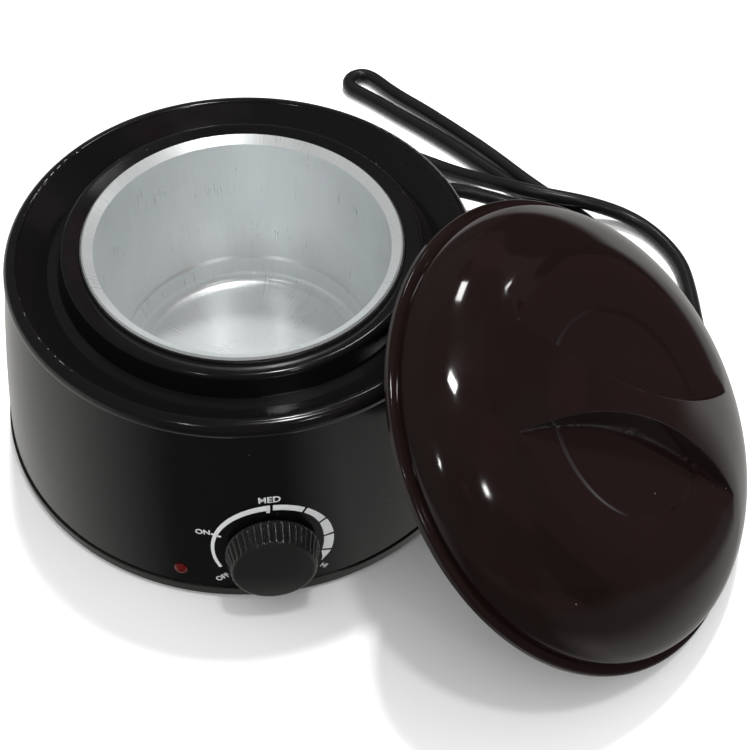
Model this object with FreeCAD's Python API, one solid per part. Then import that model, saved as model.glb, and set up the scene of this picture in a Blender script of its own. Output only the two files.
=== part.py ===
import FreeCAD, Part
import math
import os

# Table-top wax warmer: a round housing with a removable pot, a loose domed
# lid leaning against its side, a heat dial in front and a mains lead behind.
#
# Frame, in millimetres: +Z is up. The origin is on the vertical axis of the
# housing, in the plane of the base plate's underside. The dial faces -Y and
# +X is on the right of someone who looks at the dial. The rubber feet reach
# FOOT_PROUD below the origin, down to the table.

V = FreeCAD.Vector
UP = V(0, 0, 1)

# ---- pot
POT_RIM_RADIUS = 53.0
POT_RIM_Z = 80.8
POT_LIP_WIDTH = 3.2
POT_LIP_DROP = 2.2
POT_SHEET = 1.0
POT_TAPER = 2.8
POT_STEP_RADIUS = POT_RIM_RADIUS - POT_LIP_WIDTH - POT_TAPER
POT_STEP_Z = 25.4
POT_STEP_IN = 1.0
POT_FLOOR_TAPER = 0.6
POT_FLOOR_RADIUS = POT_STEP_RADIUS - POT_STEP_IN - POT_FLOOR_TAPER
POT_FLOOR_Z = 14.0
POT_FLOOR_ROUND = 5.0
POT_GAP = 0.35

# ---- housing shell, from the collar round the pot outwards
WALL = 2.4
COLLAR_WIDTH = 5.4
TROUGH_STEP = 3.9
TROUGH_WIDTH = 3.4
LEDGE_WIDTH = 10.5
SHOULDER_WIDTH = 2.7
WALL_TAPER = 10.7
COLLAR_RADIUS = POT_RIM_RADIUS + COLLAR_WIDTH
TROUGH_RADIUS = COLLAR_RADIUS + TROUGH_STEP
LEDGE_RADIUS = TROUGH_RADIUS + TROUGH_WIDTH
SHOULDER_RADIUS = LEDGE_RADIUS + LEDGE_WIDTH
WALL_TOP_RADIUS = SHOULDER_RADIUS + SHOULDER_WIDTH
SHELL_BOTTOM_RADIUS = WALL_TOP_RADIUS + WALL_TAPER
WALL_TOP_Z = 74.2
WALL_BULGE = 0.7
SHOULDER_Z = 78.7
LEDGE_Z = 71.4
TROUGH_RISE = 0.9
COLLAR_TOP_Z = 80.4
COLLAR_SLOPE = 1.5
COLLAR_FOOT_SLOPE = 1.8

# ---- base plate and feet
BASE_LIP = 0.6
BASE_RADIUS = SHELL_BOTTOM_RADIUS + BASE_LIP
BASE_HEIGHT = 4.7
BASE_FLOOR = 2.4
BASE_RIM_WIDTH = 3.2
BASE_EDGE_ROUND = 0.8
FOOT_RADIUS = 7.0
FOOT_INSET = 24.2
FOOT_CIRCLE = BASE_RADIUS - FOOT_INSET
FOOT_PROUD = 1.0
FOOT_POCKET = 1.2
FOOT_GAP = 0.1
VENT_COUNT = 10
VENT_LENGTH = 13.0
VENT_WIDTH = 3.0
VENT_CIRCLE = 48.0

# ---- fixed heating well around the pot
WELL_SHEET = 1.5
WELL_LIP_WIDTH = 2.6
SEAT_GAP = 0.2
RING_GAP = 0.4
RING_THICKNESS = 1.6
RING_SCREW_COUNT = 3
RING_HEAD_RADIUS = 2.2
COLLAR_GAP = 0.3

# ---- heater band, its clamp and the insulating sleeve
HEATER_BOTTOM = 24.0
HEATER_TOP = 58.0
HEATER_THICKNESS = 1.4
HEATER_SPLIT = 8.0
HEATER_AZIMUTH = 135.0
CLAMP_LUG = 7.0
CLAMP_LUG_THICKNESS = 1.2
CLAMP_LUG_HEIGHT = 14.0
CLAMP_SCREW_RADIUS = 1.5
SLEEVE_THICKNESS = 2.0
SLEEVE_OVERLAP = 3.0
LAYER_GAP = 0.1

# ---- dial, shaft and thermostat
DIAL_Z = 24.3
KNOB_RADIUS = 15.3
KNOB_FACE_RADIUS = 14.2
KNOB_HEIGHT = 9.5
KNOB_EDGE_ROUND = 2.2
KNOB_GAP = 0.8
KNOB_RIBS = 36
KNOB_RIB_RADIUS = 0.55
KNOB_POINTER_WIDTH = 1.4
KNOB_POINTER_DEPTH = 0.5
KNOB_POINTER_LENGTH = 7.0
SHAFT_RADIUS = 3.0
SHAFT_GAP = 0.05
SHAFT_HOLE_GAP = 0.6
SHAFT_IN_KNOB = 6.5
THERMOSTAT_RADIUS = 11.0
THERMOSTAT_DEPTH = 13.0
THERMOSTAT_STANDOFF = 9.0
BRACKET_HALF = 18.0
BRACKET_WIDTH = 14.0
BRACKET_THICKNESS = 1.2
BRACKET_SCREW_PITCH = 28.0
STANDOFF_RADIUS = 3.4

# ---- indicator lamp
LAMP_AZIMUTH = -109.9
LAMP_Z = 12.3
LENS_RADIUS = 2.3
LENS_PROUD = 1.5
LENS_DOME = 1.2
LENS_FLANGE = 0.9
LAMP_BODY_RADIUS = 3.6
LAMP_BODY_LENGTH = 11.0

# ---- screws
SCREW_RADIUS = 1.5
SCREW_HEAD_RADIUS = 3.0
SCREW_HEAD_HEIGHT = 1.8
SCREW_SLOT_WIDTH = 0.7
SCREW_LENGTH = 10.0
BOSS_RADIUS = 4.0
BOSS_INSET = 11.1
BOSS_CIRCLE = SHELL_BOTTOM_RADIUS - BOSS_INSET
BOSS_HEIGHT = 46.0
BOSS_COUNT = 4
BOSS_START = 25.0

# ---- parts on the base plate floor
BLOCK_LENGTH = 22.0
BLOCK_WIDTH = 10.0
BLOCK_HEIGHT = 8.0
BLOCK_INSET = 21.6
BLOCK_CIRCLE = SHELL_BOTTOM_RADIUS - BLOCK_INSET
FUSE_RADIUS = 2.0
FUSE_LENGTH = 14.0
FUSE_X = 18.0
CLIP_WIDTH = 6.0
CLIP_THICKNESS = 0.8
CLIP_LEG = 6.0
WIRE_RADIUS = 1.0

# ---- lid, in its own frame: rim plane at height 0, crown upwards
LID_OVERHANG = 3.4
LID_RADIUS = SHOULDER_RADIUS + LID_OVERHANG
LID_FLANGE = 2.9
LID_FLANGE_WIDTH = 3.1
LID_DOME_RADIUS = LID_RADIUS - LID_FLANGE_WIDTH
LID_DOME_HEIGHT = 28.2
LID_WALL = 2.4
DOME_JOINTS = (58.0, 23.0, 0.0)
LID_FLANGE_ROUND = 1.0
LID_RING_INSET = 1.1
LID_RING_WIDTH = 1.8
LID_RING_DROP = 8.5
SCOOP_RIDGE_HALF = 4.1
SCOOP_RIDGE_CURVE = 85.0
SCOOP_DEPTH = 7.5
SCOOP_TILT = 7.0
SCOOP_CORNER = 5.0
LID_TILT = 39.0
LID_HEADING = -34.2
LID_AZIMUTH = -33.9
LID_SINK = 2.544
LID_HANDLE_TURN = 30.5
LID_FLOOR_GAP = 0.1

# ---- mains lead
CORD_RADIUS = 3.1
GLAND_AZIMUTH = 47.5
GLAND_LIFT = 0.6
GLAND_RADIUS = 5.0
GLAND_TIP_RADIUS = 3.8
GLAND_FLANGE_RADIUS = 7.2
GLAND_FLANGE_THICKNESS = 2.2
GLAND_SEAT = 1.1
GLAND_TAIL = 21.0
GLAND_INSIDE = 5.0
GLAND_STRAIGHT = 6.0
COIL_CENTRE = V(4.5, 131.0, 0)
COIL_INNER_TURN = 28.2
COIL_COLUMNS = 2
COIL_ENTRY = 60.0
COIL_EXIT = -30.0
PLUG_HEEL = V(-48.0, 126.0, 0)
PLUG_HEADING = 235.0
PLUG_LIFT = 0.1
PLUG_LENGTH = 34.0
PLUG_WIDTH = 26.0
PLUG_NECK_WIDTH = 14.0
PLUG_EDGE_ROUND = 2.5
PLUG_THICKNESS = 13.6
PLUG_TAIL = 12.0
PLUG_TAIL_RADIUS = 4.6
PLUG_TAIL_LIP = 0.5
PLUG_STRAIGHT = 9.0
PIN_RADIUS = 2.0
PIN_LENGTH = 19.0
PIN_PITCH = 19.0

FLOOR_Z = -FOOT_PROUD
CORD_Z = FLOOR_Z + CORD_RADIUS
GLAND_Z = BASE_HEIGHT + GLAND_FLANGE_RADIUS + GLAND_LIFT


# ---- general helpers
def arc_edge(a, b, c):
    return Part.Arc(a, b, c).toShape()


def profile_face(points):
    """Closed face in the XZ plane; a three-item entry is (mid r, mid z, end)."""
    edges = []
    here = V(points[0][0], 0, points[0][1])
    first = here
    for item in points[1:]:
        if len(item) == 3:
            mid = V(item[0], 0, item[1])
            there = V(item[2][0], 0, item[2][1])
            edges.append(arc_edge(here, mid, there))
        else:
            there = V(item[0], 0, item[1])
            edges.append(Part.LineSegment(here, there).toShape())
        here = there
    edges.append(Part.LineSegment(here, first).toShape())
    return Part.Face(Part.Wire(edges))


def cap_mid(radius, top, rise):
    """Middle point of the arc of a spherical cap that rises to top on the axis."""
    sphere = (radius**2 + rise**2) / (2 * rise)
    half = math.asin(radius / sphere) / 2
    return (sphere * math.sin(half), top - sphere + sphere * math.cos(half))


def spin(points):
    return profile_face(points).revolve(V(0, 0, 0), UP, 360)


def tube(inner, outer, low, high):
    return spin([(inner, low), (outer, low), (outer, high), (inner, high)])


def rod(radius, low, high):
    return Part.makeCylinder(radius, high - low, V(0, 0, low))


def block(x0, x1, y0, y1, z0, z1):
    return Part.makeBox(x1 - x0, y1 - y0, z1 - z0, V(x0, y0, z0))


def turned(shape, azimuth):
    copy = shape.copy()
    copy.rotate(V(0, 0, 0), UP, azimuth)
    return copy


def moved(shape, offset):
    copy = shape.copy()
    copy.translate(offset)
    return copy


def placed(shape, placement):
    copy = shape.copy()
    copy.Placement = placement.multiply(copy.Placement)
    return copy


def polar(radius, azimuth, z=0.0):
    angle = math.radians(azimuth)
    return V(radius * math.cos(angle), radius * math.sin(angle), z)


def slope_radius(z, low, high):
    """Radius at height z on the straight line between two (r, z) points."""
    return low[0] + (z - low[1]) * (high[0] - low[0]) / (high[1] - low[1])


# ---- the housing wall and the frame that its fittings sit in
WALL_LOW = (SHELL_BOTTOM_RADIUS, BASE_HEIGHT)
WALL_HIGH = (WALL_TOP_RADIUS, WALL_TOP_Z)


def wall_mid():
    run = (WALL_HIGH[0] - WALL_LOW[0], WALL_HIGH[1] - WALL_LOW[1])
    length = math.hypot(*run)
    r = (WALL_LOW[0] + WALL_HIGH[0]) / 2 + WALL_BULGE * run[1] / length
    z = (WALL_LOW[1] + WALL_HIGH[1]) / 2 - WALL_BULGE * run[0] / length
    return (r, z)


def wall_circle():
    """Centre and radius of the bulging wall's section arc."""
    arc = Part.Arc(V(*WALL_LOW, 0), V(*wall_mid(), 0), V(*WALL_HIGH, 0)).toShape()
    return arc.Curve.Center, arc.Curve.Radius


def wall_radius(z):
    centre, radius = wall_circle()
    return centre.x + math.sqrt(radius**2 - (z - centre.y) ** 2)


def wall_lean(z):
    """Angle in degrees by which the wall leans back from upright at z."""
    centre, radius = wall_circle()
    return math.degrees(math.asin((z - centre.y) / radius))


def wall_place(azimuth, z, level=False):
    """Placement on the wall's outer face: local Z out, local Y up the wall."""
    lean = 0.0 if level else wall_lean(z)
    stand = FreeCAD.Rotation(V(1, 0, 0), 90 - lean)
    turn = FreeCAD.Rotation(UP, azimuth + 90)
    return FreeCAD.Placement(polar(wall_radius(z), azimuth, z), turn.multiply(stand))


# ---- pot and well sections, as (r, z) points on the pot's inner face
POT_WALL_TOP = (POT_RIM_RADIUS - POT_LIP_WIDTH, POT_RIM_Z - POT_LIP_DROP)
POT_STEP = (POT_STEP_RADIUS, POT_STEP_Z)
LIP_LENGTH = math.hypot(POT_LIP_WIDTH, POT_LIP_DROP)
LIP_NORMAL = (POT_LIP_DROP / LIP_LENGTH, -POT_LIP_WIDTH / LIP_LENGTH)


def lip_point(point, depth):
    """A point of the flared lip moved square to its face by depth."""
    return (point[0] + LIP_NORMAL[0] * depth, point[1] + LIP_NORMAL[1] * depth)


WELL_IN = POT_SHEET + POT_GAP
WELL_OUT = WELL_IN + WELL_SHEET
WELL_FLOOR_Z = POT_FLOOR_Z - WELL_IN
WELL_LIP_END = POT_RIM_RADIUS + POT_SHEET


def well_outer_radius(z):
    low = (POT_STEP[0] + WELL_OUT, POT_STEP[1])
    high = (POT_WALL_TOP[0] + WELL_OUT, POT_WALL_TOP[1])
    return slope_radius(z, low, high)


def lip_height(radius, depth):
    """Height at a radius on the lip's face moved square to itself by depth."""
    low = lip_point(POT_WALL_TOP, depth)
    high = lip_point((POT_RIM_RADIUS, POT_RIM_Z), depth)
    return low[1] + (radius - low[0]) * (high[1] - low[1]) / (high[0] - low[0])


def wax_pot():
    top_out = lip_point((POT_RIM_RADIUS, POT_RIM_Z), POT_SHEET)
    wall_out = POT_WALL_TOP[0] + POT_SHEET
    floor_r = POT_FLOOR_RADIUS - POT_FLOOR_ROUND
    step_in = (POT_STEP[0] - POT_STEP_IN, POT_STEP[1] - POT_STEP_IN)
    corner = POT_FLOOR_ROUND * (1 - math.sqrt(0.5))
    outer_round = POT_FLOOR_ROUND + POT_SHEET
    outer_corner = outer_round * (1 - math.sqrt(0.5))
    outer_r = POT_FLOOR_RADIUS + POT_SHEET
    floor_out = POT_FLOOR_Z - POT_SHEET
    corner_out = (outer_r - outer_corner, floor_out + outer_corner)
    corner_in = (POT_FLOOR_RADIUS - corner, POT_FLOOR_Z + corner)
    return spin(
        [
            (0, floor_out),
            (floor_r, floor_out),
            (*corner_out, (outer_r, floor_out + outer_round)),
            (step_in[0] + POT_SHEET, step_in[1] - POT_SHEET / 2),
            (POT_STEP[0] + POT_SHEET, POT_STEP[1] - POT_SHEET / 2),
            (wall_out, lip_height(wall_out, POT_SHEET)),
            top_out,
            (POT_RIM_RADIUS, POT_RIM_Z),
            POT_WALL_TOP,
            POT_STEP,
            step_in,
            (POT_FLOOR_RADIUS, POT_FLOOR_Z + POT_FLOOR_ROUND),
            (*corner_in, (floor_r, POT_FLOOR_Z)),
            (0, POT_FLOOR_Z),
        ]
    )


def heating_well():
    inner = POT_WALL_TOP[0] + WELL_IN
    outer = POT_WALL_TOP[0] + WELL_OUT
    low_in = POT_STEP[0] + WELL_IN
    low_out = POT_STEP[0] + WELL_OUT
    round_in = POT_FLOOR_ROUND
    round_out = POT_FLOOR_ROUND + WELL_SHEET
    shift = 1 - math.sqrt(0.5)
    bottom = WELL_FLOOR_Z - WELL_SHEET
    out_mid = (low_out - round_out * shift, bottom + round_out * shift)
    in_mid = (low_in - round_in * shift, WELL_FLOOR_Z + round_in * shift)
    return spin(
        [
            (0, bottom),
            (low_out - round_out, bottom),
            (*out_mid, (low_out, bottom + round_out)),
            (low_out, POT_STEP[1]),
            (outer, lip_height(outer, WELL_OUT)),
            (WELL_LIP_END, lip_height(WELL_LIP_END, WELL_OUT)),
            (WELL_LIP_END, lip_height(WELL_LIP_END, WELL_IN)),
            (inner, lip_height(inner, WELL_IN)),
            (low_in, POT_STEP[1]),
            (low_in, WELL_FLOOR_Z + round_in),
            (*in_mid, (low_in - round_in, WELL_FLOOR_Z)),
            (0, WELL_FLOOR_Z),
        ]
    )


# ---- housing shell
COLLAR_EDGE = WELL_LIP_END + COLLAR_GAP
COLLAR_EDGE_Z = COLLAR_TOP_Z - COLLAR_SLOPE
SEAT_RADIUS = POT_WALL_TOP[0] + WELL_OUT + SEAT_GAP
SEAT_BOTTOM_Z = lip_height(SEAT_RADIUS, WELL_OUT) - WALL
BOSS_AZIMUTHS = [BOSS_START + 360 / BOSS_COUNT * i for i in range(BOSS_COUNT)]
RING_RADIUS = TROUGH_RADIUS - COLLAR_FOOT_SLOPE - WALL - RING_GAP
RING_SCREW_CIRCLE = (SEAT_RADIUS + RING_RADIUS) / 2
RING_AZIMUTHS = [90 + 360 / RING_SCREW_COUNT * i for i in range(RING_SCREW_COUNT)]


def shell_skin():
    mid = wall_mid()
    trough_z = LEDGE_Z + TROUGH_RISE
    collar_foot = TROUGH_RADIUS
    collar_side = collar_foot - COLLAR_FOOT_SLOPE
    collar_round = (collar_side + COLLAR_RADIUS) / 2 + 0.35
    under_ledge = LEDGE_Z - WALL
    return spin(
        [
            WALL_LOW,
            (*mid, WALL_HIGH),
            ((WALL_TOP_RADIUS + SHOULDER_RADIUS) / 2 + 0.75, SHOULDER_Z - 1.2, (SHOULDER_RADIUS, SHOULDER_Z)),
            (SHOULDER_RADIUS - 0.9, SHOULDER_Z + 0.1, (SHOULDER_RADIUS - 1.8, SHOULDER_Z - 0.6)),
            (LEDGE_RADIUS, LEDGE_Z),
            (collar_foot, trough_z),
            (collar_side, COLLAR_TOP_Z - 1.6),
            (collar_round, COLLAR_TOP_Z - 0.45, (COLLAR_RADIUS, COLLAR_TOP_Z)),
            (COLLAR_EDGE, COLLAR_EDGE_Z),
            (COLLAR_EDGE, lip_height(COLLAR_EDGE, WELL_OUT)),
            (SEAT_RADIUS, lip_height(SEAT_RADIUS, WELL_OUT)),
            (SEAT_RADIUS, SEAT_BOTTOM_Z),
            (collar_side - WALL, SEAT_BOTTOM_Z),
            (collar_foot - WALL, under_ledge),
            (LEDGE_RADIUS, under_ledge),
            (SHOULDER_RADIUS - WALL, SHOULDER_Z - 1.8 - WALL),
            (WALL_TOP_RADIUS - WALL, WALL_TOP_Z - WALL),
            (mid[0] - WALL, mid[1], (WALL_LOW[0] - WALL, WALL_LOW[1])),
        ]
    )


def base_bosses():
    boss = rod(BOSS_RADIUS, BASE_FLOOR, BASE_FLOOR + BOSS_HEIGHT)
    return [turned(moved(boss, V(BOSS_CIRCLE, 0, 0)), a) for a in BOSS_AZIMUTHS]


def standoffs():
    """Two posts behind the front wall that carry the thermostat bracket."""
    place = wall_place(-90, DIAL_Z)
    post = rod(STANDOFF_RADIUS, -THERMOSTAT_STANDOFF, -WALL / 2)
    half = BRACKET_SCREW_PITCH / 2
    return [placed(moved(post, V(x, 0, 0)), place) for x in (-half, half)]


def shell_envelope():
    """Everything inside the wall's outer face, to trim posts to the wall."""
    mid = wall_mid()
    return spin([(0, BASE_FLOOR), (WALL_LOW[0] - WALL / 2, BASE_FLOOR), (mid[0] - WALL / 2, mid[1]),
                 (WALL_HIGH[0] - WALL / 2, WALL_HIGH[1]), (0, WALL_HIGH[1])])


def shell_cuts():
    dial = wall_place(-90, DIAL_Z)
    half = BRACKET_SCREW_PITCH / 2
    pilot = rod(SCREW_RADIUS, -THERMOSTAT_STANDOFF, -WALL - 0.6)
    cuts = [placed(rod(SHAFT_RADIUS + SHAFT_HOLE_GAP, -2 * WALL, 2 * WALL), dial)]
    cuts += [placed(moved(pilot, V(x, 0, 0)), dial) for x in (-half, half)]
    cuts.append(placed(rod(LENS_RADIUS, -2 * WALL, 2 * WALL), wall_place(LAMP_AZIMUTH, LAMP_Z)))
    gland = wall_place(GLAND_AZIMUTH, GLAND_Z, level=True)
    cuts.append(placed(rod(GLAND_RADIUS, -2 * WALL, 2 * WALL), gland))
    screw = rod(SCREW_RADIUS, BASE_FLOOR, BASE_FLOOR + SCREW_LENGTH)
    cuts += [turned(moved(screw, V(BOSS_CIRCLE, 0, 0)), a) for a in BOSS_AZIMUTHS]
    hole = rod(SCREW_RADIUS, SEAT_BOTTOM_Z, SEAT_BOTTOM_Z + ring_screw_grip())
    cuts += [turned(moved(hole, V(RING_SCREW_CIRCLE, 0, 0)), a) for a in RING_AZIMUTHS]
    return cuts


def ring_screw_grip():
    return WALL * 0.9


def housing_shell():
    posts = base_bosses() + standoffs()
    envelope = shell_envelope()
    posts = [post.common(envelope) for post in posts]
    shell = shell_skin().multiFuse(posts)
    return shell.cut(Part.makeCompound(shell_cuts())).removeSplitter()


# ---- base plate, feet and base screws
def foot_azimuths():
    return [a + 180 / BOSS_COUNT for a in BOSS_AZIMUTHS]


def base_plate():
    rim_in = BASE_RADIUS - BASE_RIM_WIDTH
    plate = spin(
        [
            (0, 0),
            (BASE_RADIUS - BASE_EDGE_ROUND, 0),
            (BASE_RADIUS, BASE_EDGE_ROUND),
            (BASE_RADIUS, BASE_HEIGHT),
            (rim_in, BASE_HEIGHT),
            (rim_in, BASE_FLOOR),
            (0, BASE_FLOOR),
        ]
    )
    cuts = []
    for azimuth in foot_azimuths():
        pocket = rod(FOOT_RADIUS + FOOT_GAP, 0, FOOT_POCKET)
        cuts.append(turned(moved(pocket, V(FOOT_CIRCLE, 0, 0)), azimuth))
    for azimuth in BOSS_AZIMUTHS:
        sink = rod(SCREW_HEAD_RADIUS + FOOT_GAP, 0, SCREW_HEAD_HEIGHT)
        hole = rod(SCREW_RADIUS, 0, BASE_FLOOR)
        cuts.append(turned(moved(sink.fuse(hole), V(BOSS_CIRCLE, 0, 0)), azimuth))
    slot = block(-VENT_LENGTH / 2, VENT_LENGTH / 2, -VENT_WIDTH / 2, VENT_WIDTH / 2, 0, BASE_FLOOR)
    for i in range(VENT_COUNT):
        cuts.append(turned(moved(slot, V(VENT_CIRCLE, 0, 0)), 360 / VENT_COUNT * i))
    return plate.cut(Part.makeCompound(cuts))


def foot(azimuth):
    pad = rod(FOOT_RADIUS, FLOOR_Z, FOOT_POCKET)
    pad = pad.makeFillet(FOOT_PROUD * 0.4, [pad.Edges[2]])
    return turned(moved(pad, V(FOOT_CIRCLE, 0, 0)), azimuth)


def screw_up(length, head_radius=SCREW_HEAD_RADIUS):
    """Cross-head screw with its head below z = 0 and its shank going up."""
    head = rod(head_radius, -SCREW_HEAD_HEIGHT, 0)
    body = head.fuse(rod(SCREW_RADIUS, 0, length)).removeSplitter()
    reach = head_radius * 0.6
    half = SCREW_SLOT_WIDTH / 2
    arm = block(-reach, reach, -half, half, -SCREW_HEAD_HEIGHT, -SCREW_HEAD_HEIGHT / 2)
    return body.cut(arm).cut(turned(arm, 90))


def base_screws():
    length = BASE_FLOOR - SCREW_HEAD_HEIGHT + SCREW_LENGTH
    screw = moved(screw_up(length), V(BOSS_CIRCLE, 0, SCREW_HEAD_HEIGHT))
    return Part.makeCompound([turned(screw, a) for a in BOSS_AZIMUTHS])


# ---- ring that holds the well up under the collar
def well_ring():
    inner = well_outer_radius(SEAT_BOTTOM_Z) + LAYER_GAP
    ring = tube(inner, RING_RADIUS, SEAT_BOTTOM_Z - RING_THICKNESS, SEAT_BOTTOM_Z)
    hole = rod(SCREW_RADIUS, SEAT_BOTTOM_Z - RING_THICKNESS, SEAT_BOTTOM_Z)
    holes = [turned(moved(hole, V(RING_SCREW_CIRCLE, 0, 0)), a) for a in RING_AZIMUTHS]
    return ring.cut(Part.makeCompound(holes))


def ring_screws():
    screw = screw_up(RING_THICKNESS + ring_screw_grip(), RING_HEAD_RADIUS)
    screw = moved(screw, V(RING_SCREW_CIRCLE, 0, SEAT_BOTTOM_Z - RING_THICKNESS))
    return Part.makeCompound([turned(screw, a) for a in RING_AZIMUTHS])


# ---- heater band, clamp and sleeve
def cone_layer(inset, thickness, low, high):
    r0 = well_outer_radius(low) + inset
    r1 = well_outer_radius(high) + inset
    return spin([(r0, low), (r0 + thickness, low), (r1 + thickness, high), (r1, high)])


def split_cut(width, low, high):
    reach = well_outer_radius(high) + SLEEVE_THICKNESS + CLAMP_LUG + 10
    return turned(block(0, reach, -width / 2, width / 2, low, high), HEATER_AZIMUTH)


def heater_band():
    band = cone_layer(LAYER_GAP, HEATER_THICKNESS, HEATER_BOTTOM, HEATER_TOP)
    band = band.cut(split_cut(HEATER_SPLIT, HEATER_BOTTOM, HEATER_TOP))
    middle = (HEATER_BOTTOM + HEATER_TOP) / 2
    start = well_outer_radius(middle) + LAYER_GAP + HEATER_THICKNESS * 0.5
    out = HEATER_SPLIT / 2 + CLAMP_LUG_THICKNESS
    for side in (-1, 1):
        edge = side * HEATER_SPLIT / 2
        y0, y1 = sorted((edge, edge + side * CLAMP_LUG_THICKNESS))
        lug = block(start, start + CLAMP_LUG + HEATER_THICKNESS, y0, y1,
                    middle - CLAMP_LUG_HEIGHT / 2, middle + CLAMP_LUG_HEIGHT / 2)
        hole = Part.makeCylinder(CLAMP_SCREW_RADIUS, 2 * out, V(clamp_reach(), -out, middle), V(0, 1, 0))
        band = band.fuse(turned(lug.cut(hole), HEATER_AZIMUTH))
    return band.removeSplitter()


def clamp_reach():
    middle = (HEATER_BOTTOM + HEATER_TOP) / 2
    return well_outer_radius(middle) + LAYER_GAP + HEATER_THICKNESS + CLAMP_LUG * 0.55


def clamp_screw():
    middle = (HEATER_BOTTOM + HEATER_TOP) / 2
    out = HEATER_SPLIT / 2 + CLAMP_LUG_THICKNESS
    shank = Part.makeCylinder(CLAMP_SCREW_RADIUS, 2 * out + 2.4, V(clamp_reach(), -out, middle), V(0, 1, 0))
    head = Part.makeCylinder(CLAMP_SCREW_RADIUS * 1.9, SCREW_HEAD_HEIGHT,
                             V(clamp_reach(), -out - SCREW_HEAD_HEIGHT, middle), V(0, 1, 0))
    nut = Part.makePolygon([V(3.1 * math.cos(math.radians(60 * i)), out, 3.1 * math.sin(math.radians(60 * i)))
                            for i in range(7)])
    nut = Part.Face(nut).extrude(V(0, 2.0, 0))
    nut = moved(nut, V(clamp_reach(), 0, middle))
    return turned(shank.fuse([head, nut]).removeSplitter(), HEATER_AZIMUTH)


def heat_sleeve():
    inset = 2 * LAYER_GAP + HEATER_THICKNESS
    low = HEATER_BOTTOM - SLEEVE_OVERLAP
    high = HEATER_TOP + SLEEVE_OVERLAP
    sleeve = cone_layer(inset, SLEEVE_THICKNESS, low, high)
    return sleeve.cut(split_cut(HEATER_SPLIT + 2 * CLAMP_LUG_THICKNESS + 5.0, low, high))


# ---- dial: knob, shaft, thermostat
def dial_knob():
    low = KNOB_GAP
    high = KNOB_GAP + KNOB_HEIGHT
    side_top = high - KNOB_EDGE_ROUND
    dome = KNOB_EDGE_ROUND * 0.4
    shift = math.sqrt(0.5)
    mid = (KNOB_FACE_RADIUS - KNOB_EDGE_ROUND * (1 - shift), side_top + (KNOB_EDGE_ROUND - dome) * shift)
    body = spin(
        [
            (0, low),
            (KNOB_RADIUS, low),
            (KNOB_RADIUS, low + 1.2),
            (KNOB_FACE_RADIUS, side_top),
            (*mid, (KNOB_FACE_RADIUS - KNOB_EDGE_ROUND, high - dome)),
            (*cap_mid(KNOB_FACE_RADIUS - KNOB_EDGE_ROUND, high, dome), (0, high)),
        ]
    )
    hollow = rod(KNOB_RADIUS - 2.2, low, low + 2.0).cut(rod(SHAFT_RADIUS + 2.4, low, low + 2.0))
    cuts = [hollow, rod(SHAFT_RADIUS, low, low + SHAFT_IN_KNOB)]
    lean = math.degrees(math.atan2(KNOB_RADIUS - KNOB_FACE_RADIUS, side_top - low - 1.2))
    groove = rod(KNOB_RIB_RADIUS, low + 1.6, high)
    groove.rotate(V(0, 0, low + 1.2), V(0, 1, 0), -lean)
    for i in range(KNOB_RIBS):
        cuts.append(turned(moved(groove, V(KNOB_RADIUS + KNOB_RIB_RADIUS * 0.35, 0, 0)), 360 / KNOB_RIBS * (i + 0.5)))
    reach = KNOB_FACE_RADIUS - KNOB_EDGE_ROUND
    pointer = block(-KNOB_POINTER_WIDTH / 2, KNOB_POINTER_WIDTH / 2, reach - KNOB_POINTER_LENGTH, reach,
                    high - dome - KNOB_POINTER_DEPTH, high)
    cuts.append(pointer)
    return placed(body.cut(Part.makeCompound(cuts)), wall_place(-90, DIAL_Z))


def thermostat_shaft():
    top = KNOB_GAP + SHAFT_IN_KNOB
    shaft = rod(SHAFT_RADIUS, -THERMOSTAT_STANDOFF - THERMOSTAT_DEPTH + 4.0, top)
    return placed(shaft, wall_place(-90, DIAL_Z))


def thermostat_body():
    front = -THERMOSTAT_STANDOFF - BRACKET_THICKNESS
    back = front - THERMOSTAT_DEPTH
    body = rod(THERMOSTAT_RADIUS, back, front).fuse(rod(SHAFT_RADIUS + 2.0, front, front + BRACKET_THICKNESS + 2.5))
    body = body.removeSplitter()
    body = body.cut(rod(SHAFT_RADIUS + SHAFT_GAP, -THERMOSTAT_STANDOFF - THERMOSTAT_DEPTH + 3.5, 0))
    tab = block(-2.4, 2.4, -0.4, 0.4, back - 5.0, back)
    tabs = [moved(tab, V(0, y, 0)) for y in (-6.0, 6.0)]
    return placed(body.fuse(tabs), wall_place(-90, DIAL_Z))


def thermostat_bracket():
    back = -THERMOSTAT_STANDOFF - BRACKET_THICKNESS
    plate = block(-BRACKET_HALF, BRACKET_HALF, -BRACKET_WIDTH / 2, BRACKET_WIDTH / 2, back, back + BRACKET_THICKNESS)
    holes = [rod(SHAFT_RADIUS + 2.0, back, 0)]
    half = BRACKET_SCREW_PITCH / 2
    holes += [moved(rod(SCREW_RADIUS, back, 0), V(x, 0, 0)) for x in (-half, half)]
    return placed(plate.cut(Part.makeCompound(holes)), wall_place(-90, DIAL_Z))


def thermostat_screws():
    half = BRACKET_SCREW_PITCH / 2
    grip = THERMOSTAT_STANDOFF - WALL - 0.6
    screw = screw_up(BRACKET_THICKNESS + grip - 0.4)
    screw = moved(screw, V(0, 0, -THERMOSTAT_STANDOFF - BRACKET_THICKNESS))
    return Part.makeCompound([placed(moved(screw, V(x, 0, 0)), wall_place(-90, DIAL_Z)) for x in (-half, half)])


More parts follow.
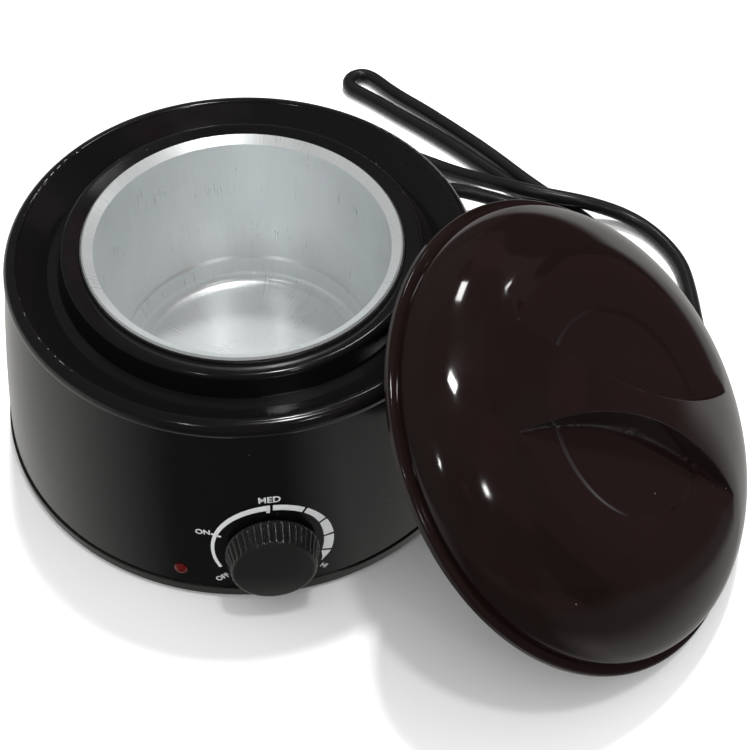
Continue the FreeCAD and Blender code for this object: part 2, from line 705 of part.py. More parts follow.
# ---- indicator lamp
def indicator_lens():
    inside = -WALL - LENS_FLANGE
    lens = spin(
        [
            (0, inside),
            (LENS_RADIUS + 1.0, inside),
            (LENS_RADIUS + 1.0, -WALL - 0.1),
            (LENS_RADIUS, -WALL - 0.1),
            (LENS_RADIUS, LENS_PROUD - LENS_DOME),
            (*cap_mid(LENS_RADIUS, LENS_PROUD, LENS_DOME), (0, LENS_PROUD)),
        ]
    )
    return placed(lens, wall_place(LAMP_AZIMUTH, LAMP_Z))


def indicator_lamp():
    front = -WALL - LENS_FLANGE
    lamp = rod(LAMP_BODY_RADIUS, front - LAMP_BODY_LENGTH, front)
    lamp = lamp.makeFillet(0.8, [lamp.Edges[2]])
    return placed(lamp, wall_place(LAMP_AZIMUTH, LAMP_Z))


# ---- terminal block, thermal fuse and its clip
def terminal_block():
    body = block(-BLOCK_WIDTH / 2, BLOCK_WIDTH / 2, -BLOCK_LENGTH / 2, BLOCK_LENGTH / 2,
                 BASE_FLOOR, BASE_FLOOR + BLOCK_HEIGHT)
    wells = [moved(rod(2.2, BASE_FLOOR + BLOCK_HEIGHT - 4.0, BASE_FLOOR + BLOCK_HEIGHT), V(0, y, 0))
             for y in (-BLOCK_LENGTH * 0.3, 0, BLOCK_LENGTH * 0.3)]
    body = body.cut(Part.makeCompound(wells))
    return turned(moved(body, V(BLOCK_CIRCLE, 0, 0)), GLAND_AZIMUTH)


def fuse_axis_z():
    return WELL_FLOOR_Z - WELL_SHEET - LAYER_GAP - FUSE_RADIUS


def thermal_fuse():
    z = fuse_axis_z()
    body = Part.makeCylinder(FUSE_RADIUS, FUSE_LENGTH, V(FUSE_X, -FUSE_LENGTH / 2, z), V(0, 1, 0))
    lead = Part.makeCylinder(0.5, FUSE_LENGTH + 12, V(FUSE_X, -FUSE_LENGTH / 2 - 6, z), V(0, 1, 0))
    return body.fuse(lead).removeSplitter()


def fuse_clip():
    """Strap under the fuse with two feet on the well's underside."""
    top = WELL_FLOOR_Z - WELL_SHEET
    low = fuse_axis_z() - FUSE_RADIUS - CLIP_THICKNESS
    inner = FUSE_RADIUS + LAYER_GAP
    outer = inner + CLIP_THICKNESS
    half = CLIP_WIDTH / 2
    strap = block(FUSE_X - outer, FUSE_X + outer, -half, half, low, top)
    strap = strap.cut(block(FUSE_X - inner, FUSE_X + inner, -half, half, low + CLIP_THICKNESS, top))
    feet = block(FUSE_X - outer - CLIP_LEG, FUSE_X + outer + CLIP_LEG, -half, half, top - CLIP_THICKNESS, top)
    feet = feet.cut(block(FUSE_X - inner, FUSE_X + inner, -half, half, low, top))
    return strap.fuse(feet).removeSplitter()


# ---- lid
def dome_arcs(a, b):
    """Quarter ellipse of half-axes a and b as tangent arcs, from the crown to the side."""
    here = (0.0, LID_FLANGE + b)
    heading = 0.0
    arcs = []
    for angle in DOME_JOINTS:
        t = math.radians(angle)
        there = (a * math.cos(t), LID_FLANGE + b * math.sin(t))
        chord = math.atan2(there[1] - here[1], there[0] - here[0])
        length = math.hypot(there[0] - here[0], there[1] - here[1])
        turn = chord - heading
        rise = length / 2 * math.tan(turn / 2)
        mid = ((here[0] + there[0]) / 2 + rise * math.sin(chord), (here[1] + there[1]) / 2 - rise * math.cos(chord))
        arcs.append((*mid, there))
        heading += 2 * turn
        here = there
    return arcs


def dome_solid(inset, low):
    """The dome's body of revolution, drawn in from the outer face by inset."""
    a = LID_DOME_RADIUS - inset
    b = LID_DOME_HEIGHT - inset
    return spin([(0, low), (0, LID_FLANGE + b)] + dome_arcs(a, b) + [(a, low)])


def scoop_tool(inset):
    """Thumb scoop on one side of the handle ridge; inset shrinks it for the inner skin."""
    near = SCOOP_RIDGE_HALF - inset
    radius = SCOOP_RIDGE_CURVE + inset
    floor = LID_FLANGE + LID_DOME_HEIGHT - SCOOP_DEPTH - inset
    tool = rod(radius, floor, LID_FLANGE + 2 * LID_DOME_HEIGHT)
    tool = tool.makeFillet(SCOOP_CORNER + inset, [tool.Edges[2]])
    tool = moved(tool, V(0, near + radius, 0))
    tool.rotate(V(0, near, floor), V(1, 0, 0), SCOOP_TILT)
    return tool


def lid_ring_radius():
    """The lid's inner ring drops into the trough, just inside the ledge."""
    return LEDGE_RADIUS - LID_RING_INSET


def lid_upright():
    outer = dome_solid(0, 0.4)
    flange = spin([(LID_DOME_RADIUS - 3, 0), (LID_RADIUS, 0), (LID_RADIUS, LID_FLANGE - LID_FLANGE_ROUND),
                   (LID_RADIUS - LID_FLANGE_ROUND, LID_FLANGE), (LID_DOME_RADIUS - 3, LID_FLANGE)])
    ring_in = lid_ring_radius() - LID_RING_WIDTH
    ring = tube(ring_in, lid_ring_radius(), -LID_RING_DROP, LID_FLANGE)
    cavity = dome_solid(LID_WALL, -1.0)
    web = tube(ring_in, LID_DOME_RADIUS - 1, 0, LID_WALL)
    solid = outer.fuse([flange])
    solid = solid.cut(scoop_tool(0)).cut(turned(scoop_tool(0), 180))
    hollow = cavity.cut(scoop_tool(LID_WALL)).cut(turned(scoop_tool(LID_WALL), 180))
    solid = solid.cut(hollow)
    return solid.fuse([ring, web]).removeSplitter()


def lid_place():
    """Leaning pose: the rim's lowest point just over the table, the ring on the shoulder."""
    tilt = math.radians(LID_TILT)
    foot_z = FLOOR_Z + LID_FLOOR_GAP
    foot_reach = SHOULDER_RADIUS + (SHOULDER_Z - foot_z) / math.tan(tilt) + LID_RING_DROP / math.sin(tilt) - LID_SINK
    reach = foot_reach - LID_RADIUS * math.cos(tilt)
    centre = polar(reach, LID_AZIMUTH, foot_z + LID_RADIUS * math.sin(tilt))
    spin_in = FreeCAD.Rotation(UP, LID_HANDLE_TURN)
    lean = FreeCAD.Rotation(V(0, 1, 0), LID_TILT)
    turn = FreeCAD.Rotation(UP, LID_HEADING)
    return FreeCAD.Placement(centre, turn.multiply(lean).multiply(spin_in))


def lid():
    return placed(lid_upright(), lid_place())


# ---- mains lead: gland, tube, coil, tail and plug
def gland_tip():
    return polar(wall_radius(GLAND_Z) + GLAND_FLANGE_THICKNESS + GLAND_TAIL, GLAND_AZIMUTH, GLAND_Z)


def strain_relief():
    out = GLAND_FLANGE_THICKNESS
    groove = rod(GLAND_RADIUS, -WALL - GLAND_SEAT, 0.0)
    inner = rod(GLAND_FLANGE_RADIUS, -WALL - GLAND_INSIDE, -WALL - GLAND_SEAT)
    flange = rod(GLAND_FLANGE_RADIUS, GLAND_SEAT, out)
    neck = rod(GLAND_RADIUS, 0, GLAND_SEAT)
    tail = Part.makeCone(GLAND_RADIUS, GLAND_TIP_RADIUS, GLAND_TAIL, V(0, 0, out))
    body = inner.fuse([groove, neck, flange, tail]).removeSplitter()
    return placed(body, wall_place(GLAND_AZIMUTH, GLAND_Z, level=True))


def lead_route():
    """Points of the lead from the strain relief to the coil."""
    tip = gland_tip()
    flat = CORD_Z
    start = [tip, tip + polar(GLAND_STRAIGHT, GLAND_AZIMUTH)]
    plan = [
        (87.8, 91.4, 11.8), (96.8, 92.7, 10.1), (106.6, 90.2, 8.4), (115.6, 87.5, 6.8), (127.2, 82.7, 4.9),
        (133.8, 76.1, 4.3), (137.6, 67.5, 3.8), (138.0, 58.2, 3.2), (135.0, 49.3, 2.6), (128.0, 41.0, flat),
        (121.5, 30.6, flat), (109.8, 13.0, flat), (100.4, -5.0, flat), (95.6, -22.4, flat),
        (90.4, -38.6, flat), (83.0, -61.1, flat), (86.4, -75.8, flat), (96.6, -86.8, flat),
        (110.9, -91.4, flat), (125.7, -88.4, flat), (137.0, -78.4, flat), (141.9, -64.2, flat),
        (139.2, -49.4, flat), (126.2, -36.0, flat), (119.8, -25.0, flat), (117.2, -12.5, flat),
        (117.6, 0.0, flat), (121.4, 11.2, flat), (127.8, 21.8, flat), (134.4, 32.2, flat), (139.8, 43.0, flat),
        (143.8, 54.4, flat), (144.8, 65.8, flat), (142.6, 75.4, flat), (138.2, 83.2, flat),
        (133.0, 91.2, flat), (127.0, 99.8, flat), (120.4, 108.9, flat), (113.4, 118.3, flat),
        (106.4, 128.0, flat), (98.8, 137.5, flat), (91.0, 146.8, flat), (82.7, 156.0, flat),
        (75.2, 165.0, flat), (69.6, 171.1, flat), (66.0, 174.8, flat), (62.5, 178.3, flat),
        (62.0, 182.8, flat), (64.5, 186.7, flat), (68.8, 188.2, flat), (73.2, 186.6, flat),
        (77.0, 181.3, flat), (81.4, 174.4, flat), (86.8, 167.4, flat), (93.8, 159.3, flat),
        (101.6, 149.2, flat), (109.2, 139.0, flat), (116.8, 128.6, flat), (124.0, 117.6, flat),
        (130.8, 106.4, flat), (137.9, 96.0, flat), (144.9, 86.9, flat), (151.2, 78.8, flat),
        (156.6, 68.8, flat), (159.0, 57.0, flat), (156.2, 45.6, flat), (149.8, 35.0, flat),
        (140.6, 22.9, flat), (132.0, 11.4, flat), (125.2, 0.1, flat), (124.8, -14.8, flat),
        (131.9, -27.9, flat), (144.5, -35.7, flat), (159.4, -36.3, flat), (172.5, -29.4, flat),
        (180.6, -16.9, flat), (181.3, 3.0, flat), (182.9, 14.0, flat), (184.8, 24.5, flat),
        (186.2, 34.6, flat), (186.9, 45.0, flat), (184.0, 57.4, flat), (177.4, 69.0, 2.8), (168.8, 75.8, 4.4),
        (159.8, 78.9, 6.6), (150.9, 81.0, 8.7), (142.5, 83.7, 9.3), (134.2, 87.0, 9.3), (126.3, 91.2, 8.9),
        (118.6, 97.0, 7.2), (111.0, 103.7, 5.0), (103.3, 110.1, 3.2), (94.6, 117.4, flat), (81.4, 127.0, flat),
        (67.6, 135.2, flat), (52.6, 144.0, flat), (37.6, 151.8, flat),
    ]
    return start + [V(*p) for p in plan] + [coil_entry()]


def coil_outer_turn():
    return COIL_INNER_TURN + (COIL_COLUMNS - 1) * 2 * CORD_RADIUS


def coil_entry():
    return COIL_CENTRE + polar(coil_outer_turn(), COIL_ENTRY, CORD_Z)


def coil_exit():
    return COIL_CENTRE + polar(COIL_INNER_TURN, COIL_EXIT, CORD_Z)


def plug_heel():
    """Centre of the plug body's rear face."""
    return PLUG_HEEL + V(0, 0, FLOOR_Z + PLUG_THICKNESS / 2 + PLUG_LIFT)


def plug_place():
    """Placement of the plug: local +X along its pins."""
    return FreeCAD.Placement(plug_heel(), FreeCAD.Rotation(UP, PLUG_HEADING))


def tail_route():
    """Points of the lead from the coil's inner turn, over the coil, to the plug's tail."""
    plan = [
        (32.3, 125.1, 2.5), (32.5, 135.9, 4.9), (28.2, 146.4, 7.9), (20.2, 154.2, 8.9), (9.8, 158.1, 9.0),
        (-4.4, 158.2, 9.0), (-16.4, 155.4, 8.9), (-27.0, 150.3, 8.3),
    ]
    ends = [plug_place().multVec(V(-PLUG_TAIL - back, 0, 0)) for back in (PLUG_STRAIGHT, 0)]
    return [coil_exit()] + [V(*p) for p in plan] + ends


def turn_angle(one, two):
    return math.atan2(one.cross(two).Length, one.dot(two))


def bend_radii(points):
    radii = []
    for a, b, c in zip(points, points[1:], points[2:]):
        one, two = b - a, c - b
        half = turn_angle(one, two) / 2
        radii.append(0.45 * min(one.Length, two.Length) / math.tan(half))
    return radii


def path_wire(points):
    """Straight runs joined by tangent arcs."""
    edges = []
    here = points[0]
    for (a, b, c), radius in zip(zip(points, points[1:], points[2:]), bend_radii(points)):
        one, two = (b - a), (c - b)
        half = turn_angle(one, two) / 2
        back = radius * math.tan(half)
        one.normalize()
        two.normalize()
        start, end = b - one * back, b + two * back
        inward = two - one
        inward.normalize()
        mid = b + inward * (radius / math.cos(half) - radius)
        edges.append(Part.LineSegment(here, start).toShape())
        edges.append(arc_edge(start, mid, end))
        here = end
    edges.append(Part.LineSegment(here, points[-1]).toShape())
    return Part.Wire(edges)


def round_tube(points, radius):
    wire = path_wire(points)
    first = points[1] - points[0]
    ring = Part.Wire([Part.Circle(points[0], first, radius).toShape()])
    return wire.makePipeShell([ring], True, False), wire.Length


def cord_coil():
    inner = COIL_INNER_TURN - CORD_RADIUS
    outer = coil_outer_turn() + CORD_RADIUS
    high = FLOOR_Z + 2 * CORD_RADIUS
    bevel = CORD_RADIUS * 0.6
    ring = spin([(inner + bevel, FLOOR_Z), (outer - bevel, FLOOR_Z), (outer, FLOOR_Z + bevel), (outer, high - bevel),
                 (outer - bevel, high), (inner + bevel, high), (inner, high - bevel), (inner, FLOOR_Z + bevel)])
    return moved(ring, COIL_CENTRE)


def plug_body():
    half = PLUG_WIDTH / 2
    neck = PLUG_NECK_WIDTH / 2
    waist = PLUG_LENGTH * 0.55
    corners = [(0, -neck), (waist, -half), (PLUG_LENGTH, -half), (PLUG_LENGTH, half), (waist, half), (0, neck), (0, -neck)]
    outline = Part.makePolygon([V(x, y, -PLUG_THICKNESS / 2) for x, y in corners])
    body = Part.Face(outline).extrude(V(0, 0, PLUG_THICKNESS))
    body = body.makeFillet(PLUG_EDGE_ROUND, body.Edges)
    tail = Part.makeCone(CORD_RADIUS + PLUG_TAIL_LIP, PLUG_TAIL_RADIUS, PLUG_TAIL + PLUG_EDGE_ROUND,
                         V(-PLUG_TAIL, 0, 0), V(1, 0, 0))
    return placed(body.fuse(tail).removeSplitter(), plug_place())


def plug_pins():
    pin = rod(PIN_RADIUS, 0, PIN_LENGTH)
    pin = pin.makeFillet(PIN_RADIUS * 0.6, [pin.Edges[0]])
    pin.rotate(V(0, 0, 0), V(0, 1, 0), 90)
    half = PIN_PITCH / 2
    pins = [moved(pin, V(PLUG_LENGTH, y, 0)) for y in (-half, half)]
    return placed(Part.makeCompound(pins), plug_place())


# ---- internal leads
def live_wire():
    """From the terminal block to the thermostat, round the right of the well."""
    z = BASE_FLOOR + WIRE_RADIUS + 0.4
    points = [polar(BLOCK_CIRCLE, GLAND_AZIMUTH - 12, z)]
    for azimuth in (19, 0, -19, -37, -52, -64):
        points.append(polar(BLOCK_CIRCLE, azimuth, z))
    return round_tube(points, WIRE_RADIUS)[0]


def lamp_wire():
    """From the terminal block to the indicator lamp, round the left of the well."""
    z = BASE_FLOOR + WIRE_RADIUS + 0.4
    points = [polar(BLOCK_CIRCLE + 2, GLAND_AZIMUTH + 13, z)]
    for azimuth in (80, 102, 125, 149, 173, 197, 220, 238):
        points.append(polar(BLOCK_CIRCLE + 4, azimuth, z))
    return round_tube(points, WIRE_RADIUS)[0]


def main():
    os.makedirs("parts", exist_ok=True)
    lead, lead_length = round_tube(lead_route(), CORD_RADIUS)
    tail, tail_length = round_tube(tail_route(), CORD_RADIUS)
    azimuths = foot_azimuths()
    parts = {
        "housing_shell": housing_shell(),
        "base_plate": base_plate(),
        "foot_left_front": foot(azimuths[2]),
        "foot_right_front": foot(azimuths[3]),
        "foot_right_rear": foot(azimuths[0]),
        "foot_left_rear": foot(azimuths[1]),
        "base_screws": base_screws(),
        "wax_pot": wax_pot(),
        "heating_well": heating_well(),
        "well_ring": well_ring(),
        "ring_screws": ring_screws(),
        "heater_band": heater_band(),
        "clamp_screw": clamp_screw(),
        "heat_sleeve": heat_sleeve(),
        "dial_knob": dial_knob(),
        "thermostat_shaft": thermostat_shaft(),
        "thermostat_body": thermostat_body(),
        "thermostat_bracket": thermostat_bracket(),
        "thermostat_screws": thermostat_screws(),
        "indicator_lens": indicator_lens(),
        "indicator_lamp": indicator_lamp(),
        "terminal_block": terminal_block(),
        "thermal_fuse": thermal_fuse(),
        "fuse_clip": fuse_clip(),
        "live_wire": live_wire(),
        "lamp_wire": lamp_wire(),
        "lid": lid(),
        "strain_relief": strain_relief(),
        "power_cord": lead,
        "cord_coil": cord_coil(),
        "cord_tail": tail,
        "plug_body": plug_body(),
        "plug_pins": plug_pins(),
    }
    for name, shape in parts.items():
        shape.exportStep("parts/" + name + ".step")
        print(name, "valid", shape.isValid(), "solids", len(shape.Solids), "volume", round(shape.Volume, 1))
    area = math.pi * CORD_RADIUS**2
    for name, shape, length in (("lead", lead, lead_length), ("tail", tail, tail_length)):
        print(name, "length", round(length, 1), "volume over section times length", round(shape.Volume / area / length, 4))
    print("lead bend radii", [round(r, 1) for r in bend_radii(lead_route())])
    print("tail bend radii", [round(r, 1) for r in bend_radii(tail_route())])


main()
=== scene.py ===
# %% [markdown]
# # A bench-top wax warmer, dressed around its frame
# The warmer is a squat black pot of moulded plastic with a lift-out aluminium can, a heat dial on
# its front, a loose domed lid leaning on its side and a mains lead looping behind it. The frame
# brings every solid at its real size. This lesson gives each of them its finish, and models the
# pieces that plain solids can't show well: the lead, the lid's pressed scoops, the printed dial and
# the ribbed knob.

# %% Load the frame
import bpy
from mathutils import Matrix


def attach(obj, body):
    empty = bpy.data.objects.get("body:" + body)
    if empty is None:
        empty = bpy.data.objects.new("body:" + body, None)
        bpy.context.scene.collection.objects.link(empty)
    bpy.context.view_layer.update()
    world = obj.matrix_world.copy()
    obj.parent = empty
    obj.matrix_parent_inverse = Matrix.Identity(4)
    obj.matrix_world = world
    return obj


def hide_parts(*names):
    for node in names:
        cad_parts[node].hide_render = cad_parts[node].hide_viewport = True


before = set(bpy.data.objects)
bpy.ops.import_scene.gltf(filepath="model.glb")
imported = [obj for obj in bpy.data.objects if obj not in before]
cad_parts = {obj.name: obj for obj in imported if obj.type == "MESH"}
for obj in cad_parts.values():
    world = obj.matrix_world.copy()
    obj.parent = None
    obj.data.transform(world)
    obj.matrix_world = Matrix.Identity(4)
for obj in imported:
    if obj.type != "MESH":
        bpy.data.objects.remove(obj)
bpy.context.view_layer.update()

# %% [markdown]
# Blender measures in metres, and a small object is drawn more easily in millimetres. So the sizes
# below are in millimetres, and one helper turns them into Blender's metres. Two more helpers tell how
# far a value has come between two others, which is what shapes and patterns are blended by.

# %% Tools of the trade
import math

import bmesh
import bpy
from mathutils import Matrix, Vector
from mathutils.bvhtree import BVHTree

MM = 0.001
FLOOR_Z = -1.0 * MM
QUARTER_TURN = math.pi / 2


def mm(*values):
    """A point given in millimetres, as a vector in metres."""
    return Vector(values) * MM


def share_between(value, low, high):
    """How far a value has come from low to high: 0 up to low, 1 from high on."""
    return min(max((value - low) / (high - low), 0.0), 1.0)


def eased(value, low, high):
    """The same share, starting and ending gently."""
    share = share_between(value, low, high)
    return share * share * (3 - 2 * share)


def show(piece):
    """Puts an object into the scene."""
    bpy.context.scene.collection.objects.link(piece)
    return piece


# %% [markdown]
# ## The camera
# The warmer is seen from above and a little to the left, from close by. A camera is placed by its
# eye point and three turns: a heading round the upright, a look down, and a slight roll of the
# hand that held it. The lens is a little longer than normal, so the circles stay nearly true.

# %% Camera
EYE = Vector((-0.0110, -0.2918, 0.3626))
HEADING = math.radians(11.4)
LOOK_DOWN = math.radians(50.53)
ROLL = math.radians(3.727)
LENS = 57.6
SENSOR = 36.0

camera_data = bpy.data.cameras.new("camera")
camera_data.lens = LENS
camera_data.sensor_width = SENSOR
camera_data.clip_start = 0.01
camera = show(bpy.data.objects.new("camera", camera_data))
turn = Matrix.Rotation(-HEADING, 4, "Z") @ Matrix.Rotation(QUARTER_TURN - LOOK_DOWN, 4, "X")
camera.matrix_world = Matrix.Translation(EYE) @ turn @ Matrix.Rotation(ROLL, 4, "Z")
bpy.context.scene.camera = camera
print("the camera stands", round(EYE.length, 3), "m from the warmer's foot")

# %% [markdown]
# ## The mains lead
# A warmer like this has about 1.6 m of round black flex, 6.2 mm thick. It leaves the right rear
# through a strain relief, sinks to the table beside the housing, and makes one long loop there:
# forward under the lid, back behind the housing, forward again and back over itself. What isn't
# used is put away behind the housing in a coil of nearly two turns, with the plug beside it. A NURBS
# curve draws such a flex best: its control points pull it like fingers, and it never kinks between
# them. The tight fold at the back is where the flex was folded in its box and has kept its bend.

# %% The lead's route
LEAD_RADIUS = 3.1
ON_TABLE = -1.0 + LEAD_RADIUS
GLAND_AZIMUTH = math.radians(47.5)
GLAND_TIP = Vector((75.734, 82.649, 12.5))
STRAIGHT_OUT = 6.0
down_from_gland = [
    (87.8, 91.4, 11.8), (96.8, 92.7, 10.1), (106.6, 90.2, 8.4), (115.6, 87.5, 6.8), (127.2, 82.7, 4.9),
    (133.8, 76.1, 4.3), (137.6, 67.5, 3.8), (138.0, 58.2, 3.2), (135.0, 49.3, 2.6),
]
under_lid = [
    (128.0, 41.0), (121.5, 30.6), (109.8, 13.0), (100.4, -5.0), (95.6, -22.4), (90.4, -38.6), (83.0, -61.1),
    (86.4, -75.8), (96.6, -86.8), (110.9, -91.4), (125.7, -88.4), (137.0, -78.4), (141.9, -64.2),
    (139.2, -49.4), (126.2, -36.0), (119.8, -25.0), (117.2, -12.5), (117.6, 0.0), (121.4, 11.2),
]
back_to_fold = [
    (127.8, 21.8), (134.4, 32.2), (139.8, 43.0), (143.8, 54.4), (144.8, 65.8), (142.6, 75.4), (138.2, 83.2),
    (133.0, 91.2), (127.0, 99.8), (120.4, 108.9), (113.4, 118.3), (106.4, 128.0), (98.8, 137.5),
    (91.0, 146.8), (82.7, 156.0), (75.2, 165.0), (69.6, 171.1), (66.0, 174.8),
]
fold = [(62.5, 178.3), (62.0, 182.8), (64.5, 186.7), (68.8, 188.2), (73.2, 186.6)]
forward_again = [
    (77.0, 181.3), (81.4, 174.4), (86.8, 167.4), (93.8, 159.3), (101.6, 149.2), (109.2, 139.0),
    (116.8, 128.6), (124.0, 117.6), (130.8, 106.4), (137.9, 96.0), (144.9, 86.9), (151.2, 78.8),
    (156.6, 68.8), (159.0, 57.0), (156.2, 45.6), (149.8, 35.0), (140.6, 22.9), (132.0, 11.4),
    (125.2, 0.1),
]
wide_bight = [
    (124.8, -14.8), (131.9, -27.9), (144.5, -35.7), (159.4, -36.3), (172.5, -29.4), (180.6, -16.9),
    (181.3, 3.0), (182.9, 14.0), (184.8, 24.5), (186.2, 34.6), (186.9, 45.0), (184.0, 57.4),
]
over_the_loop = [
    (177.4, 69.0, 2.8), (168.8, 75.8, 4.4), (159.8, 78.9, 6.6), (150.9, 81.0, 8.7), (142.5, 83.7, 9.3),
    (134.2, 87.0, 9.3), (126.3, 91.2, 8.9), (118.6, 97.0, 7.2), (111.0, 103.7, 5.0), (103.3, 110.1, 3.2),
]
to_the_coil = [(94.6, 117.4), (81.4, 127.0), (67.6, 135.2), (52.6, 144.0), (37.6, 151.8)]


def on_table(points):
    """Plan points of a stretch that lies on the table, given the height of its middle line."""
    return [(x, y, ON_TABLE) for x, y in points]


straight_out = Vector((math.cos(GLAND_AZIMUTH), math.sin(GLAND_AZIMUTH), 0)) * STRAIGHT_OUT
lead_route = [GLAND_TIP, GLAND_TIP + straight_out] + down_from_gland
for stretch in (under_lid, back_to_fold, fold, forward_again, wide_bight):
    lead_route += on_table(stretch)
lead_route += over_the_loop + on_table(to_the_coil)
print("the lead's free run has", len(lead_route), "chosen points")

# %% [markdown]
# The coil is worked out by a loop. The flex lays its outer turn first, then slides in beside it and
# lays the inner turn, a thickness further in. A control point of a round turn stands a little outside
# the turn, because the curve cuts inside it. From the coil a short tail climbs over both turns and
# comes down into the plug.

# %% The coil and the tail to the plug
COIL_CENTRE = Vector((4.5, 131.0, ON_TABLE))
INNER_TURN = 28.2
OUTER_TURN = INNER_TURN + 2 * LEAD_RADIUS
COIL_START = 60
COIL_END = 690
DEGREES_BETWEEN = 15
SLIDE_IN_FROM = 365
SLIDE_IN_TO = 415


def turn_radius(degrees):
    """Radius of the coil where it has turned so far, sliding gently from the outer turn to the inner."""
    return OUTER_TURN + (INNER_TURN - OUTER_TURN) * eased(degrees, SLIDE_IN_FROM, SLIDE_IN_TO)


coil_points = []
for degrees in range(COIL_START, COIL_END + 1, DEGREES_BETWEEN):
    angle = math.radians(degrees)
    reach = turn_radius(degrees) / math.cos(math.radians(DEGREES_BETWEEN / 2))
    coil_points.append(COIL_CENTRE + Vector((reach * math.cos(angle), reach * math.sin(angle), 0)))
tail_points = [
    (32.3, 125.1, 2.5), (32.5, 135.9, 4.9), (28.2, 146.4, 7.9), (20.2, 154.2, 8.9), (9.8, 158.1, 9.0),
    (-4.4, 158.2, 9.0), (-16.4, 155.4, 8.9), (-27.0, 150.3, 8.3), (-35.96, 143.20, 5.9),
    (-41.12, 135.83, 5.9),
]
print("the coil has", len(coil_points), "points, and is", 2 * (OUTER_TURN + LEAD_RADIUS), "mm across")

# %% [markdown]
# The tube's thickness is kept in the points: each point's radius is the flex's own, and the bevel is
# one unit deep. Blender multiplies the two, and it counts a point's radius into the curve's box, so
# a radius left at one would make the box a metre too large on every side.

# %% Draw the lead as one curve
lead_curve = bpy.data.curves.new("mains_lead", "CURVE")
lead_curve.dimensions = "3D"
lead_curve.resolution_u = 8
lead_curve.bevel_depth = 1.0
lead_curve.bevel_resolution = 5
lead_curve.use_fill_caps = True
lead_points = lead_route + coil_points + tail_points
spline = lead_curve.splines.new("NURBS")
spline.points.add(len(lead_points) - 1)
for point, place in zip(spline.points, lead_points):
    point.co = (*mm(*place), 1.0)
    point.radius = LEAD_RADIUS * MM
spline.order_u = 3
spline.use_endpoint_u = True
lead = show(bpy.data.objects.new("mains_lead", lead_curve))


def line_length(curve_object):
    """Length of a curve object's own line, measured without its thickness."""
    data = curve_object.data.copy()
    data.bevel_depth = 0.0
    probe = bpy.data.objects.new("probe", data)
    line = bpy.data.meshes.new_from_object(probe)
    places = [vertex.co for vertex in line.vertices]
    length = sum((places[a] - places[b]).length for a, b in (edge.vertices for edge in line.edges))
    bpy.data.objects.remove(probe)
    bpy.data.meshes.remove(line)
    return length


LEAD_LENGTH = 1.63
print("the lead is", round(line_length(lead), 3), "m long, and is declared as", LEAD_LENGTH)
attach(lead, "warmer")
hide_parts("power_cord", "cord_coil", "cord_tail")

# %% [markdown]
# ## Finishes: how they are written
# Every finish here is a small tree of nodes around Blender's Principled shader. A pattern is read
# at the piece's own place in space (its Object coordinates), so it has the right scale on every
# piece. The helpers below only save typing: one adds a node, one joins two sockets, one makes a
# noise with grains of a given size, and one turns a pattern into a range of values. Most of a noise
# lies between 0.3 and 0.7, so a helper spreads that middle stretch over the whole range.

# %% Small helpers for node trees
NOISE_LOW = 0.3
NOISE_HIGH = 0.7
FIRST_COLOUR = 6
SECOND_COLOUR = 7
MIXED_COLOUR = 2


def add(tree, kind, **settings):
    """A new node of a kind, with its settings."""
    made = tree.nodes.new(kind)
    for name, value in settings.items():
        setattr(made, name, value)
    return made


def join(tree, output, target):
    """A link from a node's output to another's input."""
    tree.links.new(output, target)


def new_finish(name, roughness=0.4, metallic=0.0, **sockets):
    """A material with its Principled shader's plain sockets set."""
    material = bpy.data.materials.new(name)
    material.use_nodes = True
    shader = material.node_tree.nodes["Principled BSDF"]
    shader.inputs["Roughness"].default_value = roughness
    shader.inputs["Metallic"].default_value = metallic
    for socket, value in sockets.items():
        shader.inputs[socket.replace("_", " ")].default_value = value
    return material, material.node_tree, shader


def piece_place(tree):
    """The place on the piece, in metres of the frame."""
    return add(tree, "ShaderNodeTexCoord").outputs["Object"]


def noise(tree, size, detail=3.0, roughness=0.5):
    """Soft noise with grains about size millimetres across."""
    made = add(tree, "ShaderNodeTexNoise")
    made.inputs["Scale"].default_value = 1 / (size * MM)
    made.inputs["Detail"].default_value = detail
    made.inputs["Roughness"].default_value = roughness
    join(tree, piece_place(tree), made.inputs["Vector"])
    return made.outputs["Fac"]


def ranged(tree, value, low, high, start=0.0, end=1.0):
    """value from low to high becomes start to end, and stays there beyond."""
    made = add(tree, "ShaderNodeMapRange")
    made.inputs["From Min"].default_value = low
    made.inputs["From Max"].default_value = high
    made.inputs["To Min"].default_value = start
    made.inputs["To Max"].default_value = end
    join(tree, value, made.inputs["Value"])
    return made.outputs["Result"]


def spread(tree, pattern, start=0.0, end=1.0):
    """A noise's middle values, spread from start to end."""
    return ranged(tree, pattern, NOISE_LOW, NOISE_HIGH, start, end)


def blend_colours(tree, share, one, two):
    """A colour between two others, each a plain colour or a node's output."""
    made = add(tree, "ShaderNodeMix", data_type="RGBA")
    for number, colour in ((FIRST_COLOUR, one), (SECOND_COLOUR, two)):
        if isinstance(colour, tuple):
            made.inputs[number].default_value = (*colour, 1.0)
        else:
            join(tree, colour, made.inputs[number])
    join(tree, share, made.inputs["Factor"])
    return made.outputs[MIXED_COLOUR]


def tinted(colour, share):
    """A plain colour, darkened to a share of itself."""
    return tuple(channel * share for channel in colour)


def arithmetic(tree, operation, one, two):
    """A sum, product or the like of two values, each a plain number or a node's output."""
    made = add(tree, "ShaderNodeMath", operation=operation)
    for socket, value in zip(made.inputs, (one, two)):
        if isinstance(value, float):
            socket.default_value = value
        else:
            join(tree, value, socket)
    return made.outputs[0]


def raised(tree, shader, height, depth):
    """Bump on the shader from a height pattern, depth in millimetres."""
    bump = add(tree, "ShaderNodeBump")
    bump.inputs["Distance"].default_value = depth * MM
    join(tree, height, bump.inputs["Height"])
    join(tree, bump.outputs["Normal"], shader.inputs["Normal"])


print("helpers are ready; a noise is spread from", NOISE_LOW, "to", NOISE_HIGH)

